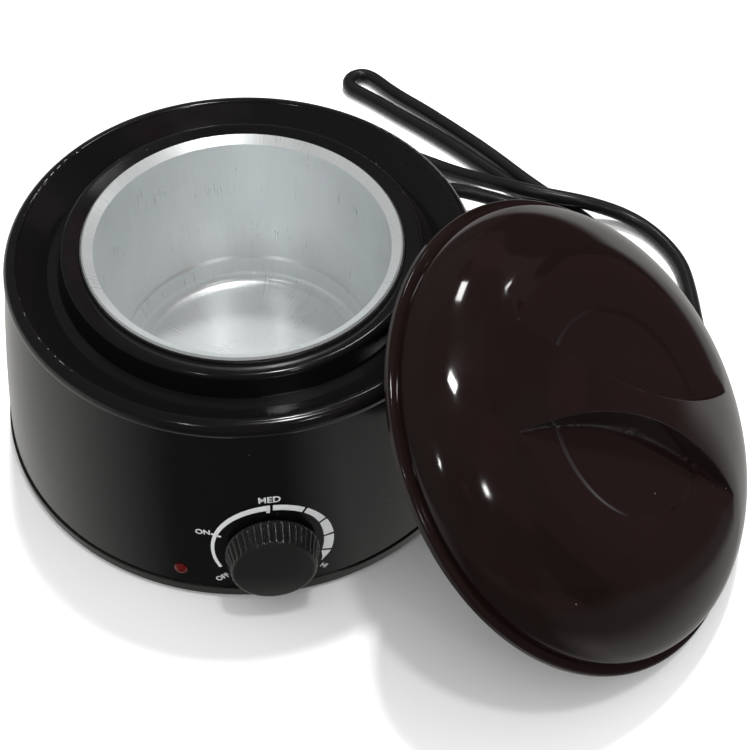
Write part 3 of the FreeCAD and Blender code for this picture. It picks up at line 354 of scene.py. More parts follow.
# %% [markdown]
# ## Moulded plastics
# The housing is injection moulded in a polished tool, so it shines like piano lacquer. Close up it
# isn't perfect: a faint orange peel ripples the reflections, handling has dulled patches of it, and
# a few specks of dust sit on it. The specks are the middles of Voronoi cells, and the cell's own
# random colour chooses the few cells that have one. One recipe makes all the plastics. Their colour,
# shine, ripple, grain and dust differ. Sizes and depths are in millimetres.

# %% A recipe for moulded plastic
DULL_PATCH = 22.0
DULL_RANGE = (0.35, 0.75)
TONE_PATCH = 9.0
TONE_DEPTH = 0.8
GRAIN_SIZE = 0.35
DUST_SPACING = 5.0
SPECK_SIZE = (0.033, 0.055)
SPECKS_CHOSEN = (0.90, 0.93)


def dust_specks(tree):
    """1 on small scattered specks and 0 between them."""
    cells = add(tree, "ShaderNodeTexVoronoi")
    cells.inputs["Scale"].default_value = 1 / (DUST_SPACING * MM)
    join(tree, piece_place(tree), cells.inputs["Vector"])
    speck = ranged(tree, cells.outputs["Distance"], *SPECK_SIZE, 1.0, 0.0)
    chosen = add(tree, "ShaderNodeSeparateColor")
    join(tree, cells.outputs["Color"], chosen.inputs["Color"])
    rare = ranged(tree, chosen.outputs["Red"], *SPECKS_CHOSEN)
    return arithmetic(tree, "MULTIPLY", speck, rare)


def moulded(name, colour, shine, ripple=0.004, ripple_size=4.0, grain=0.0, dust=0.0):
    """Plastic from a mould. dust is how much lighter than the plastic its specks are."""
    material, tree, shader = new_finish(name)
    dull = noise(tree, DULL_PATCH, detail=5.0, roughness=0.6)
    join(tree, ranged(tree, dull, *DULL_RANGE, *shine), shader.inputs["Roughness"])
    tone = noise(tree, TONE_PATCH, detail=2.0)
    shade = blend_colours(tree, tone, tinted(colour, TONE_DEPTH), colour)
    if dust:
        grey = tuple(channel + dust for channel in colour)
        shade = blend_colours(tree, dust_specks(tree), shade, grey)
    join(tree, shade, shader.inputs["Base Color"])
    height = noise(tree, ripple_size, detail=1.5)
    if grain:
        fine = arithmetic(tree, "MULTIPLY", noise(tree, GRAIN_SIZE, detail=2.0), grain / ripple)
        height = arithmetic(tree, "ADD", height, fine)
    raised(tree, shader, height, ripple)
    return material


finishes = {
    "shell_plastic": moulded("black_gloss", (0.0044, 0.0040, 0.0043), (0.09, 0.2), ripple=0.0025, dust=0.16),
    "base_plastic": moulded("black_base", (0.014, 0.013, 0.012), (0.28, 0.42), grain=0.006),
    "lid_plastic": moulded("smoked_brown_gloss", (0.0078, 0.0042, 0.0038), (0.05, 0.15), ripple=0.003,
                           dust=0.14),
    "knob_plastic": moulded("dial_black", (0.0120, 0.0125, 0.0118), (0.16, 0.28), grain=0.001),
    "lamp_plastic": moulded("lamp_holder_black", (0.02, 0.02, 0.02), (0.3, 0.45)),
    "block_plastic": moulded("terminal_white", (0.62, 0.60, 0.55), (0.3, 0.5), grain=0.003),
    "foot_rubber": moulded("foot_rubber", (0.022, 0.022, 0.021), (0.6, 0.8), grain=0.012),
    "plug_plastic": moulded("plug_black", (0.016, 0.0155, 0.015), (0.32, 0.46), grain=0.008),
    "cord_rubber": moulded("flex_black", (0.008, 0.0078, 0.0082), (0.26, 0.4), ripple=0.01,
                           ripple_size=7.0, grain=0.003),
    "wire_brown": moulded("wire_brown", (0.12, 0.045, 0.02), (0.3, 0.45)),
    "wire_blue": moulded("wire_blue", (0.02, 0.07, 0.30), (0.3, 0.45)),
}
print("moulded finishes:", ", ".join(sorted(finishes)))

# %% [markdown]
# ## Metals
# The can is drawn from aluminium sheet and left satin: its wall shows fine lines down the draw,
# which run out from the middle on its floor, and the whole is a little uneven. Its skin is anodised,
# a milky layer over the metal, so part of its light is scattered instead of mirrored. Steel screws
# are zinc plated, with a mottled shine. A metal's colour tints its reflections, so the pattern goes
# mostly into the roughness and a fine bump, and only faintly into the colour.

# %% A recipe for drawn and plated metal
LINE_DROP = 40.0
LINE_DEPTH = 0.004
LINE_SHARE = 0.6
CLOUD_SIZE = 14.0
DENT_SIZE = 18.0
DENT_DEPTH = 0.02
DRAWN_TONE = 0.88
PLATED_TONE = 0.75


def around_axis(tree, lines, drop):
    """A vector that turns with the angle round the upright: long lines down a round wall."""
    split = add(tree, "ShaderNodeSeparateXYZ")
    join(tree, piece_place(tree), split.inputs[0])
    angle = arithmetic(tree, "ARCTAN2", split.outputs["Y"], split.outputs["X"])
    vector = add(tree, "ShaderNodeCombineXYZ")
    join(tree, arithmetic(tree, "MULTIPLY", angle, lines), vector.inputs["X"])
    join(tree, arithmetic(tree, "MULTIPLY", split.outputs["Z"], drop), vector.inputs["Y"])
    return vector.outputs[0]


def drawn_metal(name, colour, shine, lines=60.0, metallic=1.0):
    """Sheet metal with fine lines down its wall, clouded and a little dented."""
    material, tree, shader = new_finish(name, metallic=metallic)
    streaks = add(tree, "ShaderNodeTexNoise")
    streaks.inputs["Scale"].default_value = 1.0
    streaks.inputs["Detail"].default_value = 5.0
    streaks.inputs["Roughness"].default_value = 0.65
    join(tree, around_axis(tree, lines, LINE_DROP), streaks.inputs["Vector"])
    line = streaks.outputs["Fac"]
    cloud = noise(tree, CLOUD_SIZE, detail=3.0)
    mixed = arithmetic(tree, "ADD", arithmetic(tree, "MULTIPLY", line, LINE_SHARE),
                       arithmetic(tree, "MULTIPLY", cloud, 1 - LINE_SHARE))
    join(tree, spread(tree, mixed, *shine), shader.inputs["Roughness"])
    tone = blend_colours(tree, spread(tree, mixed), tinted(colour, DRAWN_TONE), colour)
    join(tree, tone, shader.inputs["Base Color"])
    dents = arithmetic(tree, "MULTIPLY", noise(tree, DENT_SIZE, detail=1.0), DENT_DEPTH / LINE_DEPTH)
    raised(tree, shader, arithmetic(tree, "ADD", line, dents), LINE_DEPTH)
    return material


def plated(name, colour, shine=(0.25, 0.5), size=1.2, depth=0.003):
    """Plated or bare steel and brass, with a mottled shine."""
    material, tree, shader = new_finish(name, metallic=1.0)
    spangle = noise(tree, size, detail=4.0, roughness=0.6)
    join(tree, spread(tree, spangle, *shine), shader.inputs["Roughness"])
    tone = blend_colours(tree, spangle, tinted(colour, PLATED_TONE), colour)
    join(tree, tone, shader.inputs["Base Color"])
    raised(tree, shader, spangle, depth)
    return material


finishes["pot_aluminium"] = drawn_metal("satin_aluminium", (0.85, 0.88, 0.885), (0.24, 0.40), metallic=0.72)
finishes["well_aluminium"] = drawn_metal("well_aluminium", (0.50, 0.50, 0.50), (0.35, 0.5), lines=30.0)
finishes["screw_steel"] = plated("zinc_screw", (0.62, 0.63, 0.64))
finishes["bracket_steel"] = plated("zinc_sheet", (0.58, 0.58, 0.56), size=3.0)
finishes["heater_steel"] = plated("heater_steel", (0.40, 0.37, 0.33), shine=(0.35, 0.6), size=4.0)
finishes["shaft_brass"] = plated("shaft_brass", (0.62, 0.46, 0.20), shine=(0.2, 0.35), size=0.6)
finishes["fuse_metal"] = plated("fuse_metal", (0.70, 0.66, 0.58), shine=(0.2, 0.35))
finishes["pin_metal"] = plated("nickel_pin", (0.70, 0.68, 0.63), shine=(0.12, 0.28), size=0.8, depth=0.001)
print("metal finishes are ready")

# %% [markdown]
# ## The lamp's lens, the ceramic and the heat sleeve
# The lens is red plastic over a small lamp. It lets a little light in, and its red is slightly
# uneven. The thermostat's body is steatite, a matt off-white ceramic, and the heater's sleeve is
# braided glass fibre, whose two sets of strands cross like a basket.

# %% Lens, ceramic and sleeve
BRAID_ROUND = 50.0
BRAID_UP = 1000.0
BRAID_SCALE = 0.6
BRAID_LEAN = 0.7
BRAID_DEPTH = 0.15


def red_lens():
    """Red plastic that lets a little light in."""
    material, tree, shader = new_finish("red_lens", Transmission_Weight=0.2, IOR=1.49)
    deep = noise(tree, 1.5, detail=1.0)
    red = blend_colours(tree, deep, (0.06, 0.002, 0.002), (0.14, 0.006, 0.005))
    join(tree, red, shader.inputs["Base Color"])
    join(tree, spread(tree, deep, 0.08, 0.2), shader.inputs["Roughness"])
    return material


def ceramic():
    """Matt off-white steatite with a fine speckle."""
    material, tree, shader = new_finish("steatite")
    speckle = noise(tree, 0.6, detail=4.0, roughness=0.7)
    off_white = blend_colours(tree, speckle, (0.60, 0.57, 0.50), (0.78, 0.75, 0.68))
    join(tree, off_white, shader.inputs["Base Color"])
    join(tree, spread(tree, speckle, 0.55, 0.8), shader.inputs["Roughness"])
    raised(tree, shader, speckle, 0.01)
    return material


def glass_braid():
    """Two sets of strands round the sleeve, leaning opposite ways."""
    material, tree, shader = new_finish("glass_braid", Sheen_Weight=0.3)
    coordinates = around_axis(tree, BRAID_ROUND, BRAID_UP)
    strands = []
    for lean in (BRAID_LEAN, -BRAID_LEAN):
        wave = add(tree, "ShaderNodeTexWave", wave_type="BANDS", bands_direction="X")
        wave.inputs["Scale"].default_value = BRAID_SCALE
        turned = add(tree, "ShaderNodeMapping")
        turned.inputs["Rotation"].default_value = (0, 0, lean)
        join(tree, coordinates, turned.inputs["Vector"])
        join(tree, turned.outputs["Vector"], wave.inputs["Vector"])
        strands.append(wave.outputs["Fac"])
    weave = arithmetic(tree, "MAXIMUM", *strands)
    fibre = blend_colours(tree, weave, (0.50, 0.47, 0.40), (0.80, 0.77, 0.69))
    join(tree, fibre, shader.inputs["Base Color"])
    join(tree, ranged(tree, weave, 0.0, 1.0, 0.9, 0.7), shader.inputs["Roughness"])
    raised(tree, shader, weave, BRAID_DEPTH)
    return material


finishes["lens_red"] = red_lens()
finishes["thermostat_ceramic"] = ceramic()
finishes["sleeve_fabric"] = glass_braid()

# %% [markdown]
# The frame gives every solid a plain material that is named after its slot. Each is exchanged for the
# finish of the same name.

# %% Give every carried-over solid its finish
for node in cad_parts.values():
    for place in node.material_slots:
        slot_name = place.material.name.split(".")[0]
        place.material = finishes[slot_name]
lead.data.materials.append(finishes["cord_rubber"])
print("finished", len(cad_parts), "nodes with", len(finishes), "finishes")

# %% [markdown]
# ## The lid
# The lid is one thin shell: a dome like a flattened ball, a narrow flange, and a ring underneath
# that drops inside the housing's rim. Two thumb scoops are pressed into the top and leave a waisted
# ridge between them to lift it by. The shell is turned on a lathe, in Blender's terms a spin of its
# section, and the scoops are then pressed in by lowering the points that lie under them.

# %% The lid's section
LID_RADIUS = 79.6
FLANGE = 2.9
FLANGE_ROUND = 1.0
DOME_RADIUS = 76.5
DOME_RISE = 28.2
LID_WALL = 2.4
RING_OUTER = 64.6
RING_WIDTH = 1.8
RING_DROP = 8.5
FLANGE_CHAMFER = 0.3
RING_CHAMFER = 0.4
LID_SPOKES = 336
OUTER_STEP = 0.84
INNER_STEP = 2.2


def dome_outline(radius, rise, step):
    """Points of a quarter ellipse from the crown to the rim, evenly spaced."""
    outline = [(0.0, FLANGE + rise)]
    angle = QUARTER_TURN - step / radius
    while angle > 0:
        outline.append((radius * math.cos(angle), FLANGE + rise * math.sin(angle)))
        angle -= step / math.hypot(radius * math.sin(angle), rise * math.cos(angle))
    return outline + [(radius, FLANGE)]


def rounded_edge(radius, top, round_radius, steps=5):
    """A quarter round from the top face out to the side."""
    across = radius - round_radius
    up = top - round_radius
    angles = [QUARTER_TURN * (1 - i / steps) for i in range(steps + 1)]
    return [(across + round_radius * math.cos(a), up + round_radius * math.sin(a)) for a in angles]


def lid_section():
    """The lid's whole section: over the dome, round the flange and the ring, and back inside."""
    ring_inner = RING_OUTER - RING_WIDTH
    inside = dome_outline(DOME_RADIUS - LID_WALL, DOME_RISE - LID_WALL, INNER_STEP)
    flange = rounded_edge(LID_RADIUS, FLANGE, FLANGE_ROUND)
    flange += [(LID_RADIUS, FLANGE_CHAMFER), (LID_RADIUS - FLANGE_CHAMFER, 0.0)]
    ring = [(RING_OUTER, 0.0), (RING_OUTER, RING_CHAMFER - RING_DROP),
            (RING_OUTER - RING_CHAMFER, -RING_DROP), (ring_inner + RING_CHAMFER, -RING_DROP),
            (ring_inner, RING_CHAMFER - RING_DROP), (ring_inner, FLANGE), (RING_OUTER, FLANGE),
            (RING_OUTER, LID_WALL), (DOME_RADIUS - LID_WALL, LID_WALL)]
    return dome_outline(DOME_RADIUS, DOME_RISE, OUTER_STEP) + flange + ring + inside[::-1]


print("the lid's section has", len(lid_section()), "points")

# %% [markdown]
# A scoop has three faces: a steep wall under the ridge, a flat floor bounded by a circle round the
# lid's middle, and a slightly higher terrace outside that circle, which runs out softly into the
# dome. Taking the lower of two heights cuts one face with another, and a smooth minimum rounds the
# edge between them as a moulding tool does. The ridge's edges are crisp, so the mesh is divided
# finely along them before it is pressed.

# %% Press the scoops
RIDGE_HALF = 4.1
RIDGE_FLARE = 170.0
WALL_SLOPE = 3.2
FLOOR_CIRCLE = 34.0
FLOOR_HEIGHT = 22.1
FLOOR_STEP = 0.55
FLOOR_STEP_RUN = 0.7
TERRACE_RISE = 0.055
RIDGE_EDGE = 0.35
SOFT_EDGE = 2.6
SOFTENS_FROM = 2.0
SOFTENS_TO = 8.0
FOOT_ROUND = 0.8
DIVIDED_FROM = -1.0
DIVIDED_TO = 1.3
RIDGE_LOWEST = FLANGE + 14.0
OUTER_FACE_DEPTH = 1.0
SCOOP_LOWEST = FLANGE + 2.0
SCOOP_REACH = DOME_RADIUS - 4.0
LEAST_DROP = 0.01


def smooth_min(one, two, blend):
    """The lower of two heights, rounded where they meet."""
    near = max(blend - abs(one - two), 0.0) / blend
    return min(one, two) - near * near * blend / 4


def dome_height(x, y):
    """Height of the dome before it is pressed."""
    share = max(1 - (x * x + y * y) / DOME_RADIUS**2, 0.0)
    return FLANGE + DOME_RISE * math.sqrt(share)


def ridge_half(x):
    """Half the ridge's width, which is waisted in the middle."""
    return RIDGE_HALF + x * x / RIDGE_FLARE


def terrace_height(radius):
    """The scoop's flat floor, the small step round it and the terrace outside."""
    half_run = FLOOR_STEP_RUN / 2
    step = FLOOR_STEP * eased(radius, FLOOR_CIRCLE - half_run, FLOOR_CIRCLE + half_run)
    return FLOOR_HEIGHT + step + TERRACE_RISE * max(radius - FLOOR_CIRCLE, 0.0)


def pressed_height(x, y):
    """Height of the lid's outer face at a place of the lid, in millimetres."""
    half = ridge_half(x)
    away = abs(y) - half
    wall = dome_height(x, half) - WALL_SLOPE * away
    dish = -smooth_min(-wall, -terrace_height(math.hypot(x, y)), FOOT_ROUND)
    soften = share_between(away, SOFTENS_FROM, SOFTENS_TO)
    return smooth_min(dome_height(x, y), dish, RIDGE_EDGE + (SOFT_EDGE - RIDGE_EDGE) * soften)


def divide_along_ridge(bm):
    """Divides the outer face's mesh in a narrow strip along both edges of the ridge."""
    crossed = set()
    for face in bm.faces:
        x, y, z = face.calc_center_median() / MM
        off_edge = abs(y) - ridge_half(x)
        on_outer_face = z > max(RIDGE_LOWEST, dome_height(x, y) - OUTER_FACE_DEPTH)
        if on_outer_face and DIVIDED_FROM < off_edge < DIVIDED_TO:
            crossed.update(face.edges)
    bmesh.ops.subdivide_edges(bm, edges=list(crossed), cuts=3, use_grid_fill=True)
    return len(crossed)


def press_scoops(bm):
    """Lowers both faces of the shell by the scoop's depth, so that the wall keeps its thickness."""
    moved = 0
    for vert in bm.verts:
        x, y, z = vert.co / MM
        if z < SCOOP_LOWEST or math.hypot(x, y) > SCOOP_REACH:
            continue
        drop = dome_height(x, y) - pressed_height(x, y)
        if drop > LEAST_DROP:
            vert.co.z -= drop * MM
            moved += 1
    return moved


# %% Spin the lid, press it and lean it on the housing
LID_CENTRE = (102.5895, -68.9373, 49.1939)
LID_TILT = math.radians(39.0)
LID_HEADING = math.radians(-34.2)
HANDLE_TURN = math.radians(30.5)
SHARP_FROM = math.radians(38)


def spun(bm, outline, spokes):
    """Turns an outline of (radius, height) millimetres once round the upright."""
    verts = [bm.verts.new(mm(r, 0, z)) for r, z in outline]
    edges = [bm.edges.new(pair) for pair in zip(verts, verts[1:])]
    bmesh.ops.spin(bm, geom=verts + edges, cent=(0, 0, 0), axis=(0, 0, 1), angle=2 * math.pi, steps=spokes,
                   use_merge=True)
    bmesh.ops.remove_doubles(bm, verts=bm.verts, dist=0.002 * MM)
    bmesh.ops.recalc_face_normals(bm, faces=bm.faces)


def finished_piece(name, bm, finish, body, smooth=True):
    """Turns a bmesh into a piece of the warmer that rides on a body."""
    mesh = bpy.data.meshes.new(name)
    bm.to_mesh(mesh)
    bm.free()
    mesh.materials.append(finish)
    if smooth:
        mesh.shade_smooth()
        mesh.set_sharp_from_angle(angle=SHARP_FROM)
    piece = show(bpy.data.objects.new(name, mesh))
    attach(piece, body)
    return piece


lid_mesh = bmesh.new()
spun(lid_mesh, lid_section(), LID_SPOKES)
print("divided", divide_along_ridge(lid_mesh), "edges along the ridge")
print("the scoops move", press_scoops(lid_mesh), "of", len(lid_mesh.verts), "points")
lid_turn = Matrix.Rotation(LID_HEADING, 4, "Z") @ Matrix.Rotation(LID_TILT, 4, "Y")
lid_turn = Matrix.Translation(mm(*LID_CENTRE)) @ lid_turn @ Matrix.Rotation(HANDLE_TURN, 4, "Z")
bmesh.ops.transform(lid_mesh, matrix=lid_turn, verts=lid_mesh.verts)
lid = finished_piece("domed_lid", lid_mesh, finishes["lid_plastic"], "lid")
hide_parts("lid")
print("the lid has", len(lid.data.polygons), "faces")

# %% [markdown]
# ## The printed dial
# A white band is printed on the housing round the knob. It is thin at the cool end, swells towards
# the hot end, is broken by five gaps and ends in a wedge. Words and two ticks stand round it.
# Print is a film of ink: each shape is drawn flat, in millimetres round the dial's centre, and then
# every point is laid on the wall, a hair proud of it, by a ray shot at the housing.

# %% Lay a flat shape on the wall
DIAL_HEIGHT = 24.3
DIAL_WALL_RADIUS = 87.1546
DIAL_LEAN = math.radians(7.7524)
INK_STAND = 0.02
INK_THICKNESS = 0.06
RAY_START = 120.0

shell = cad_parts["housing_shell"].data
shell_tree = BVHTree.FromPolygons([v.co for v in shell.vertices], [p.vertices for p in shell.polygons])


def on_wall(x, y, proud):
    """The place x to the right and y up the wall from the dial's centre, proud of the wall."""
    height = DIAL_HEIGHT + y * math.cos(DIAL_LEAN)
    azimuth = x / (DIAL_WALL_RADIUS - y * math.sin(DIAL_LEAN)) - QUARTER_TURN
    out = Vector((math.cos(azimuth), math.sin(azimuth), 0))
    start = out * RAY_START * MM + mm(0, 0, height)
    place, normal, _, _ = shell_tree.ray_cast(start, -out)
    return place + normal * proud * MM


def lay_on_wall(bm):
    """Bends a flat shape onto the wall, a hair proud of it."""
    for vert in bm.verts:
        x, y, proud = vert.co / MM
        vert.co = on_wall(x, y, proud + INK_STAND)


print("the wall stands", round(on_wall(0, 0, 0).length / MM, 1), "mm out at the dial")

# %% [markdown]
# The ink is a pale grey white, mottled as a printing pad leaves it.

# %% White ink
INK_MOTTLE = 0.8
INK_RELIEF = 0.004


def white_ink():
    """Matt white ink with a fine mottle."""
    material, tree, shader = new_finish("white_ink")
    mottle = noise(tree, INK_MOTTLE, detail=3.0)
    white = blend_colours(tree, mottle, (0.56, 0.57, 0.58), (0.74, 0.75, 0.76))
    join(tree, white, shader.inputs["Base Color"])
    join(tree, spread(tree, mottle, 0.35, 0.5), shader.inputs["Roughness"])
    raised(tree, shader, mottle, INK_RELIEF)
    return material


ink = white_ink()
print("the ink is", ink.name)

# %% [markdown]
# The band starts as one short radial line, spun round the dial for each of its stretches. Its
# width is then set point by point, by a formula of the angle, and the film is given its thickness.
# Angles here run clockwise from straight up, as on a clock.

# %% Spin the band
BAND_START = -117.0
BAND_BREAKS = (1.5, 34.0, 61.0, 85.0, 107.5)
BREAK_HALF = 1.3
WEDGE_END = 123.0
BAND_MIDDLE = 19.4
HALF_LINE = 0.5
DEGREES_PER_STEP = 1.5
COOL_OUTER = 19.8
COOL_INNER = 18.7
OUTER_SWELL = (1.2, -95, 5)
OUTER_RETURN = (0.3, 10, 60)
INNER_SWELL = (1.4, 35, 88)
WEDGE_TIP = BAND_MIDDLE + 0.1
TIP_HALF = 0.15


def change(amount_and_angles, angle):
    """How much of an amount has been added at an angle, between the two angles given with it."""
    amount, first, last = amount_and_angles
    return amount * eased(angle, first, last)


def band_edges(angle):
    """Inner and outer radius of the band at an angle."""
    outer = COOL_OUTER + change(OUTER_SWELL, angle) - change(OUTER_RETURN, angle)
    inner = COOL_INNER - change(INNER_SWELL, angle)
    taper = eased(angle, BAND_BREAKS[-1], WEDGE_END)
    return (inner + (WEDGE_TIP - TIP_HALF - inner) * taper,
            outer + (WEDGE_TIP + TIP_HALF - outer) * taper)


def band_stretch(bm, start, end):
    """One unbroken stretch of the band, from angle to angle."""
    line = [bm.verts.new(mm(0, BAND_MIDDLE + side, 0)) for side in (-HALF_LINE, 0, HALF_LINE)]
    edges = [bm.edges.new(pair) for pair in zip(line, line[1:])]
    to_start = Matrix.Rotation(-math.radians(start), 3, "Z")
    bmesh.ops.rotate(bm, verts=line, cent=(0, 0, 0), matrix=to_start)
    steps = max(2, round((end - start) / DEGREES_PER_STEP))
    bmesh.ops.spin(bm, geom=line + edges, cent=(0, 0, 0), axis=(0, 0, -1),
                   angle=math.radians(end - start), steps=steps)


def film(bm):
    """Gives a flat shape the ink's thickness, outwards."""
    made = bmesh.ops.extrude_face_region(bm, geom=bm.faces[:], use_keep_orig=True)
    top = [v for v in made["geom"] if isinstance(v, bmesh.types.BMVert)]
    bmesh.ops.translate(bm, verts=top, vec=(0, 0, INK_THICKNESS * MM))
    bmesh.ops.recalc_face_normals(bm, faces=bm.faces)


band = bmesh.new()
stretch_starts = [BAND_START] + [angle + BREAK_HALF for angle in BAND_BREAKS]
stretch_ends = [angle - BREAK_HALF for angle in BAND_BREAKS] + [WEDGE_END]
for start, end in zip(stretch_starts, stretch_ends):
    band_stretch(band, start, end)
for vert in band.verts:
    radius = vert.co.length / MM
    angle = math.atan2(vert.co.x, vert.co.y)
    inner, outer = band_edges(math.degrees(angle))
    share = (radius - BAND_MIDDLE) / (2 * HALF_LINE) + 0.5
    vert.co = vert.co * ((inner + (outer - inner) * share) / radius)
film(band)
lay_on_wall(band)
finished_piece("dial_band_print", band, ink, "warmer", smooth=False)
print("the band has", len(stretch_starts), "stretches")

# %% [markdown]
# The words are generic: the settings of any such dial. A text object gives the letters, is made a
# mesh, and goes onto the wall like the band. Ticks are small flat plates.

# %% Words and ticks
dial_words = [
    ("MED", (0.0, 23.4), 3.6, 0.0),
    ("ON", (-21.9, 8.2), 3.1, 0.0),
    ("OFF", (-16.9, -14.3), 3.0, 37.0),
    ("HI", (17.1, -13.9), 2.7, -39.0),
]
dial_ticks = [
    ((-0.6, 18.3), (1.1, 1.3), 0.0),
    ((-17.7, 7.2), (3.3, 0.8), -22.0),
]
LETTER_WEIGHT = 0.02


def flat_place(centre, turn_degrees):
    """A place beside the dial's centre, turned in the flat."""
    return Matrix.Translation(mm(*centre, 0)) @ Matrix.Rotation(math.radians(turn_degrees), 4, "Z")


def printed_word(words, centre, size, turn_degrees):
    """A word of the dial, size being the height of its line."""
    letters = bpy.data.curves.new("letters", "FONT")
    letters.body = words
    letters.size = size * MM
    letters.align_x = "CENTER"
    letters.align_y = "CENTER"
    letters.offset = LETTER_WEIGHT * size * MM
    letters.resolution_u = 4
    writing = bpy.data.objects.new("letters", letters)
    flat = bpy.data.meshes.new_from_object(writing)
    bm = bmesh.new()
    bm.from_mesh(flat)
    bpy.data.objects.remove(writing)
    bpy.data.meshes.remove(flat)
    bmesh.ops.remove_doubles(bm, verts=bm.verts, dist=0.001 * MM)
    film(bm)
    bmesh.ops.transform(bm, matrix=flat_place(centre, turn_degrees), verts=bm.verts)
    lay_on_wall(bm)
    finished_piece("dial_word_" + words.lower(), bm, ink, "warmer", smooth=False)


def printed_ticks():
    """All ticks of the dial as one piece of print."""
    bm = bmesh.new()
    for centre, (width, height), turn_degrees in dial_ticks:
        place = flat_place(centre, turn_degrees) @ Matrix.Diagonal((width * MM, height * MM, 1, 1))
        bmesh.ops.create_grid(bm, x_segments=4, y_segments=1, size=0.5, matrix=place)
    film(bm)
    lay_on_wall(bm)
    finished_piece("dial_ticks_print", bm, ink, "warmer", smooth=False)


for word in dial_words:
    printed_word(*word)
printed_ticks()
print("printed", len(dial_words), "words and", len(dial_ticks), "ticks")

# %% [markdown]
# ## The dial's knob
# The knob is a low black cap with a smooth, slightly domed face and a finely ribbed skirt to grip.
# Its section is spun round the dial's axis, and the ribs are then pressed into the skirt: a point's
# distance from the axis is drawn in by a wave of its angle, which fades out towards the face.

# %% Spin and rib the knob
KNOB_FOOT = 0.8
KNOB_RADIUS = 15.3
KNOB_FACE_RADIUS = 14.2
KNOB_TOP = 10.3
KNOB_ROUND = 2.0
KNOB_CROWN = 0.9
KNOB_RIBS = 36
RIB_DEPTH = 0.55
RIB_FOOT = 2.0
RIB_SHARPNESS = 0.7
RIB_FADE = (0.3, 1.6)
STEPS_PER_RIB = 12
PROFILE_STEPS = 8
RIBS_FROM_RADIUS = KNOB_FACE_RADIUS - 1.2
RIBS_FROM_HEIGHT = RIB_FOOT - 0.1
SKIRT_EDGE = RIB_FOOT - 0.3
KNOB_CHAMFER = 0.2
KNOB_WALL = 2.2
HOLLOW_TOP = KNOB_FOOT + 2.0
SHAFT_HOLE = 3.1
SHAFT_HOLE_TOP = KNOB_FOOT + 6.5


def knob_section():
    """Half of the knob's section, from the middle of its face to the shaft hole in its back."""
    face_edge = KNOB_FACE_RADIUS - KNOB_ROUND
    edge_height = KNOB_TOP - KNOB_CROWN
    side_top = edge_height - KNOB_ROUND
    flare = KNOB_RADIUS - KNOB_FACE_RADIUS
    inside = KNOB_RADIUS - KNOB_WALL
    shares = [i / PROFILE_STEPS for i in range(PROFILE_STEPS + 1)]
    crown = [(face_edge * share, KNOB_TOP - KNOB_CROWN * share**2) for share in shares]
    corner = rounded_edge(KNOB_FACE_RADIUS, edge_height, KNOB_ROUND, steps=7)[1:]
    skirt = side_top - RIB_FOOT
    side = [(KNOB_FACE_RADIUS + flare * share, side_top - skirt * share) for share in shares[1:]]
    foot = [(KNOB_RADIUS, SKIRT_EDGE), (KNOB_RADIUS, KNOB_FOOT + KNOB_CHAMFER),
            (KNOB_RADIUS - KNOB_CHAMFER, KNOB_FOOT), (inside, KNOB_FOOT), (inside, HOLLOW_TOP),
            (SHAFT_HOLE, HOLLOW_TOP), (SHAFT_HOLE, SHAFT_HOLE_TOP), (0, SHAFT_HOLE_TOP)]
    return crown + corner + side + foot


def press_ribs(bm):
    """Draws the skirt in between its ribs."""
    for vert in bm.verts:
        x, y, z = vert.co / MM
        radius = math.hypot(x, y)
        if radius < RIBS_FROM_RADIUS or z < RIBS_FROM_HEIGHT:
            continue
        fade = eased(KNOB_TOP - KNOB_CROWN - z, *RIB_FADE)
        rib = abs(math.sin(KNOB_RIBS / 2 * math.atan2(y, x))) ** RIB_SHARPNESS
        drawn = 1 - RIB_DEPTH * (1 - rib) * fade / radius
        vert.co.x *= drawn
        vert.co.y *= drawn


knob_mesh = bmesh.new()
spun(knob_mesh, knob_section(), KNOB_RIBS * STEPS_PER_RIB)
press_ribs(knob_mesh)
up_wall = Vector((0, math.sin(DIAL_LEAN), math.cos(DIAL_LEAN)))
off_wall = Vector((0, -math.cos(DIAL_LEAN), math.sin(DIAL_LEAN)))
dial_place = Matrix((Vector((1, 0, 0)), up_wall, off_wall)).transposed().to_4x4()
dial_place = Matrix.Translation(mm(0, -DIAL_WALL_RADIUS, DIAL_HEIGHT)) @ dial_place
bmesh.ops.transform(knob_mesh, matrix=dial_place, verts=knob_mesh.verts)
knob = finished_piece("ribbed_knob", knob_mesh, finishes["knob_plastic"], "dial")
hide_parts("dial_knob")
print("the knob has", len(knob.data.polygons), "faces")

# %% [markdown]
# ## Floor and light
# The set is plain: a pale table top and soft lights. Black gloss shows its surroundings and not its
# colour, so five small lamps make the bright spots on the lid and the rim, and two panels that
# mirrors don't see light the set: a large one overhead fills the shadows, and a small one behind
# brightens the inside of the can. The table top isn't seen in mirrors either: below the horizon they
# see a dim room's floor, which is lighter to the left, to the right and underfoot, and nearly black
# in front.

# %% Floor
FLOOR_HALF = 3.0
PAPER_CLOUD = 60.0


def pale_top():
    """A matt, pale table top, faintly clouded."""
    material, tree, shader = new_finish("pale_top", roughness=0.7)
    paper = noise(tree, PAPER_CLOUD, detail=3.0)
    pale = blend_colours(tree, paper, (0.86, 0.86, 0.86), (0.90, 0.90, 0.90))
    join(tree, pale, shader.inputs["Base Color"])
    return material


floor_mesh = bmesh.new()
at_table = Matrix.Translation((0, 0, FLOOR_Z))
bmesh.ops.create_grid(floor_mesh, x_segments=2, y_segments=2, size=FLOOR_HALF, matrix=at_table)
floor_data = bpy.data.meshes.new("table_top")
floor_mesh.to_mesh(floor_data)
floor_mesh.free()
floor_data.materials.append(pale_top())
floor = show(bpy.data.objects.new("table_top", floor_data))
floor.visible_glossy = False
print("the table top is", 2 * FLOOR_HALF, "m wide")

# %% Lights
AIM = Vector((0.03, 0.0, 0.04))


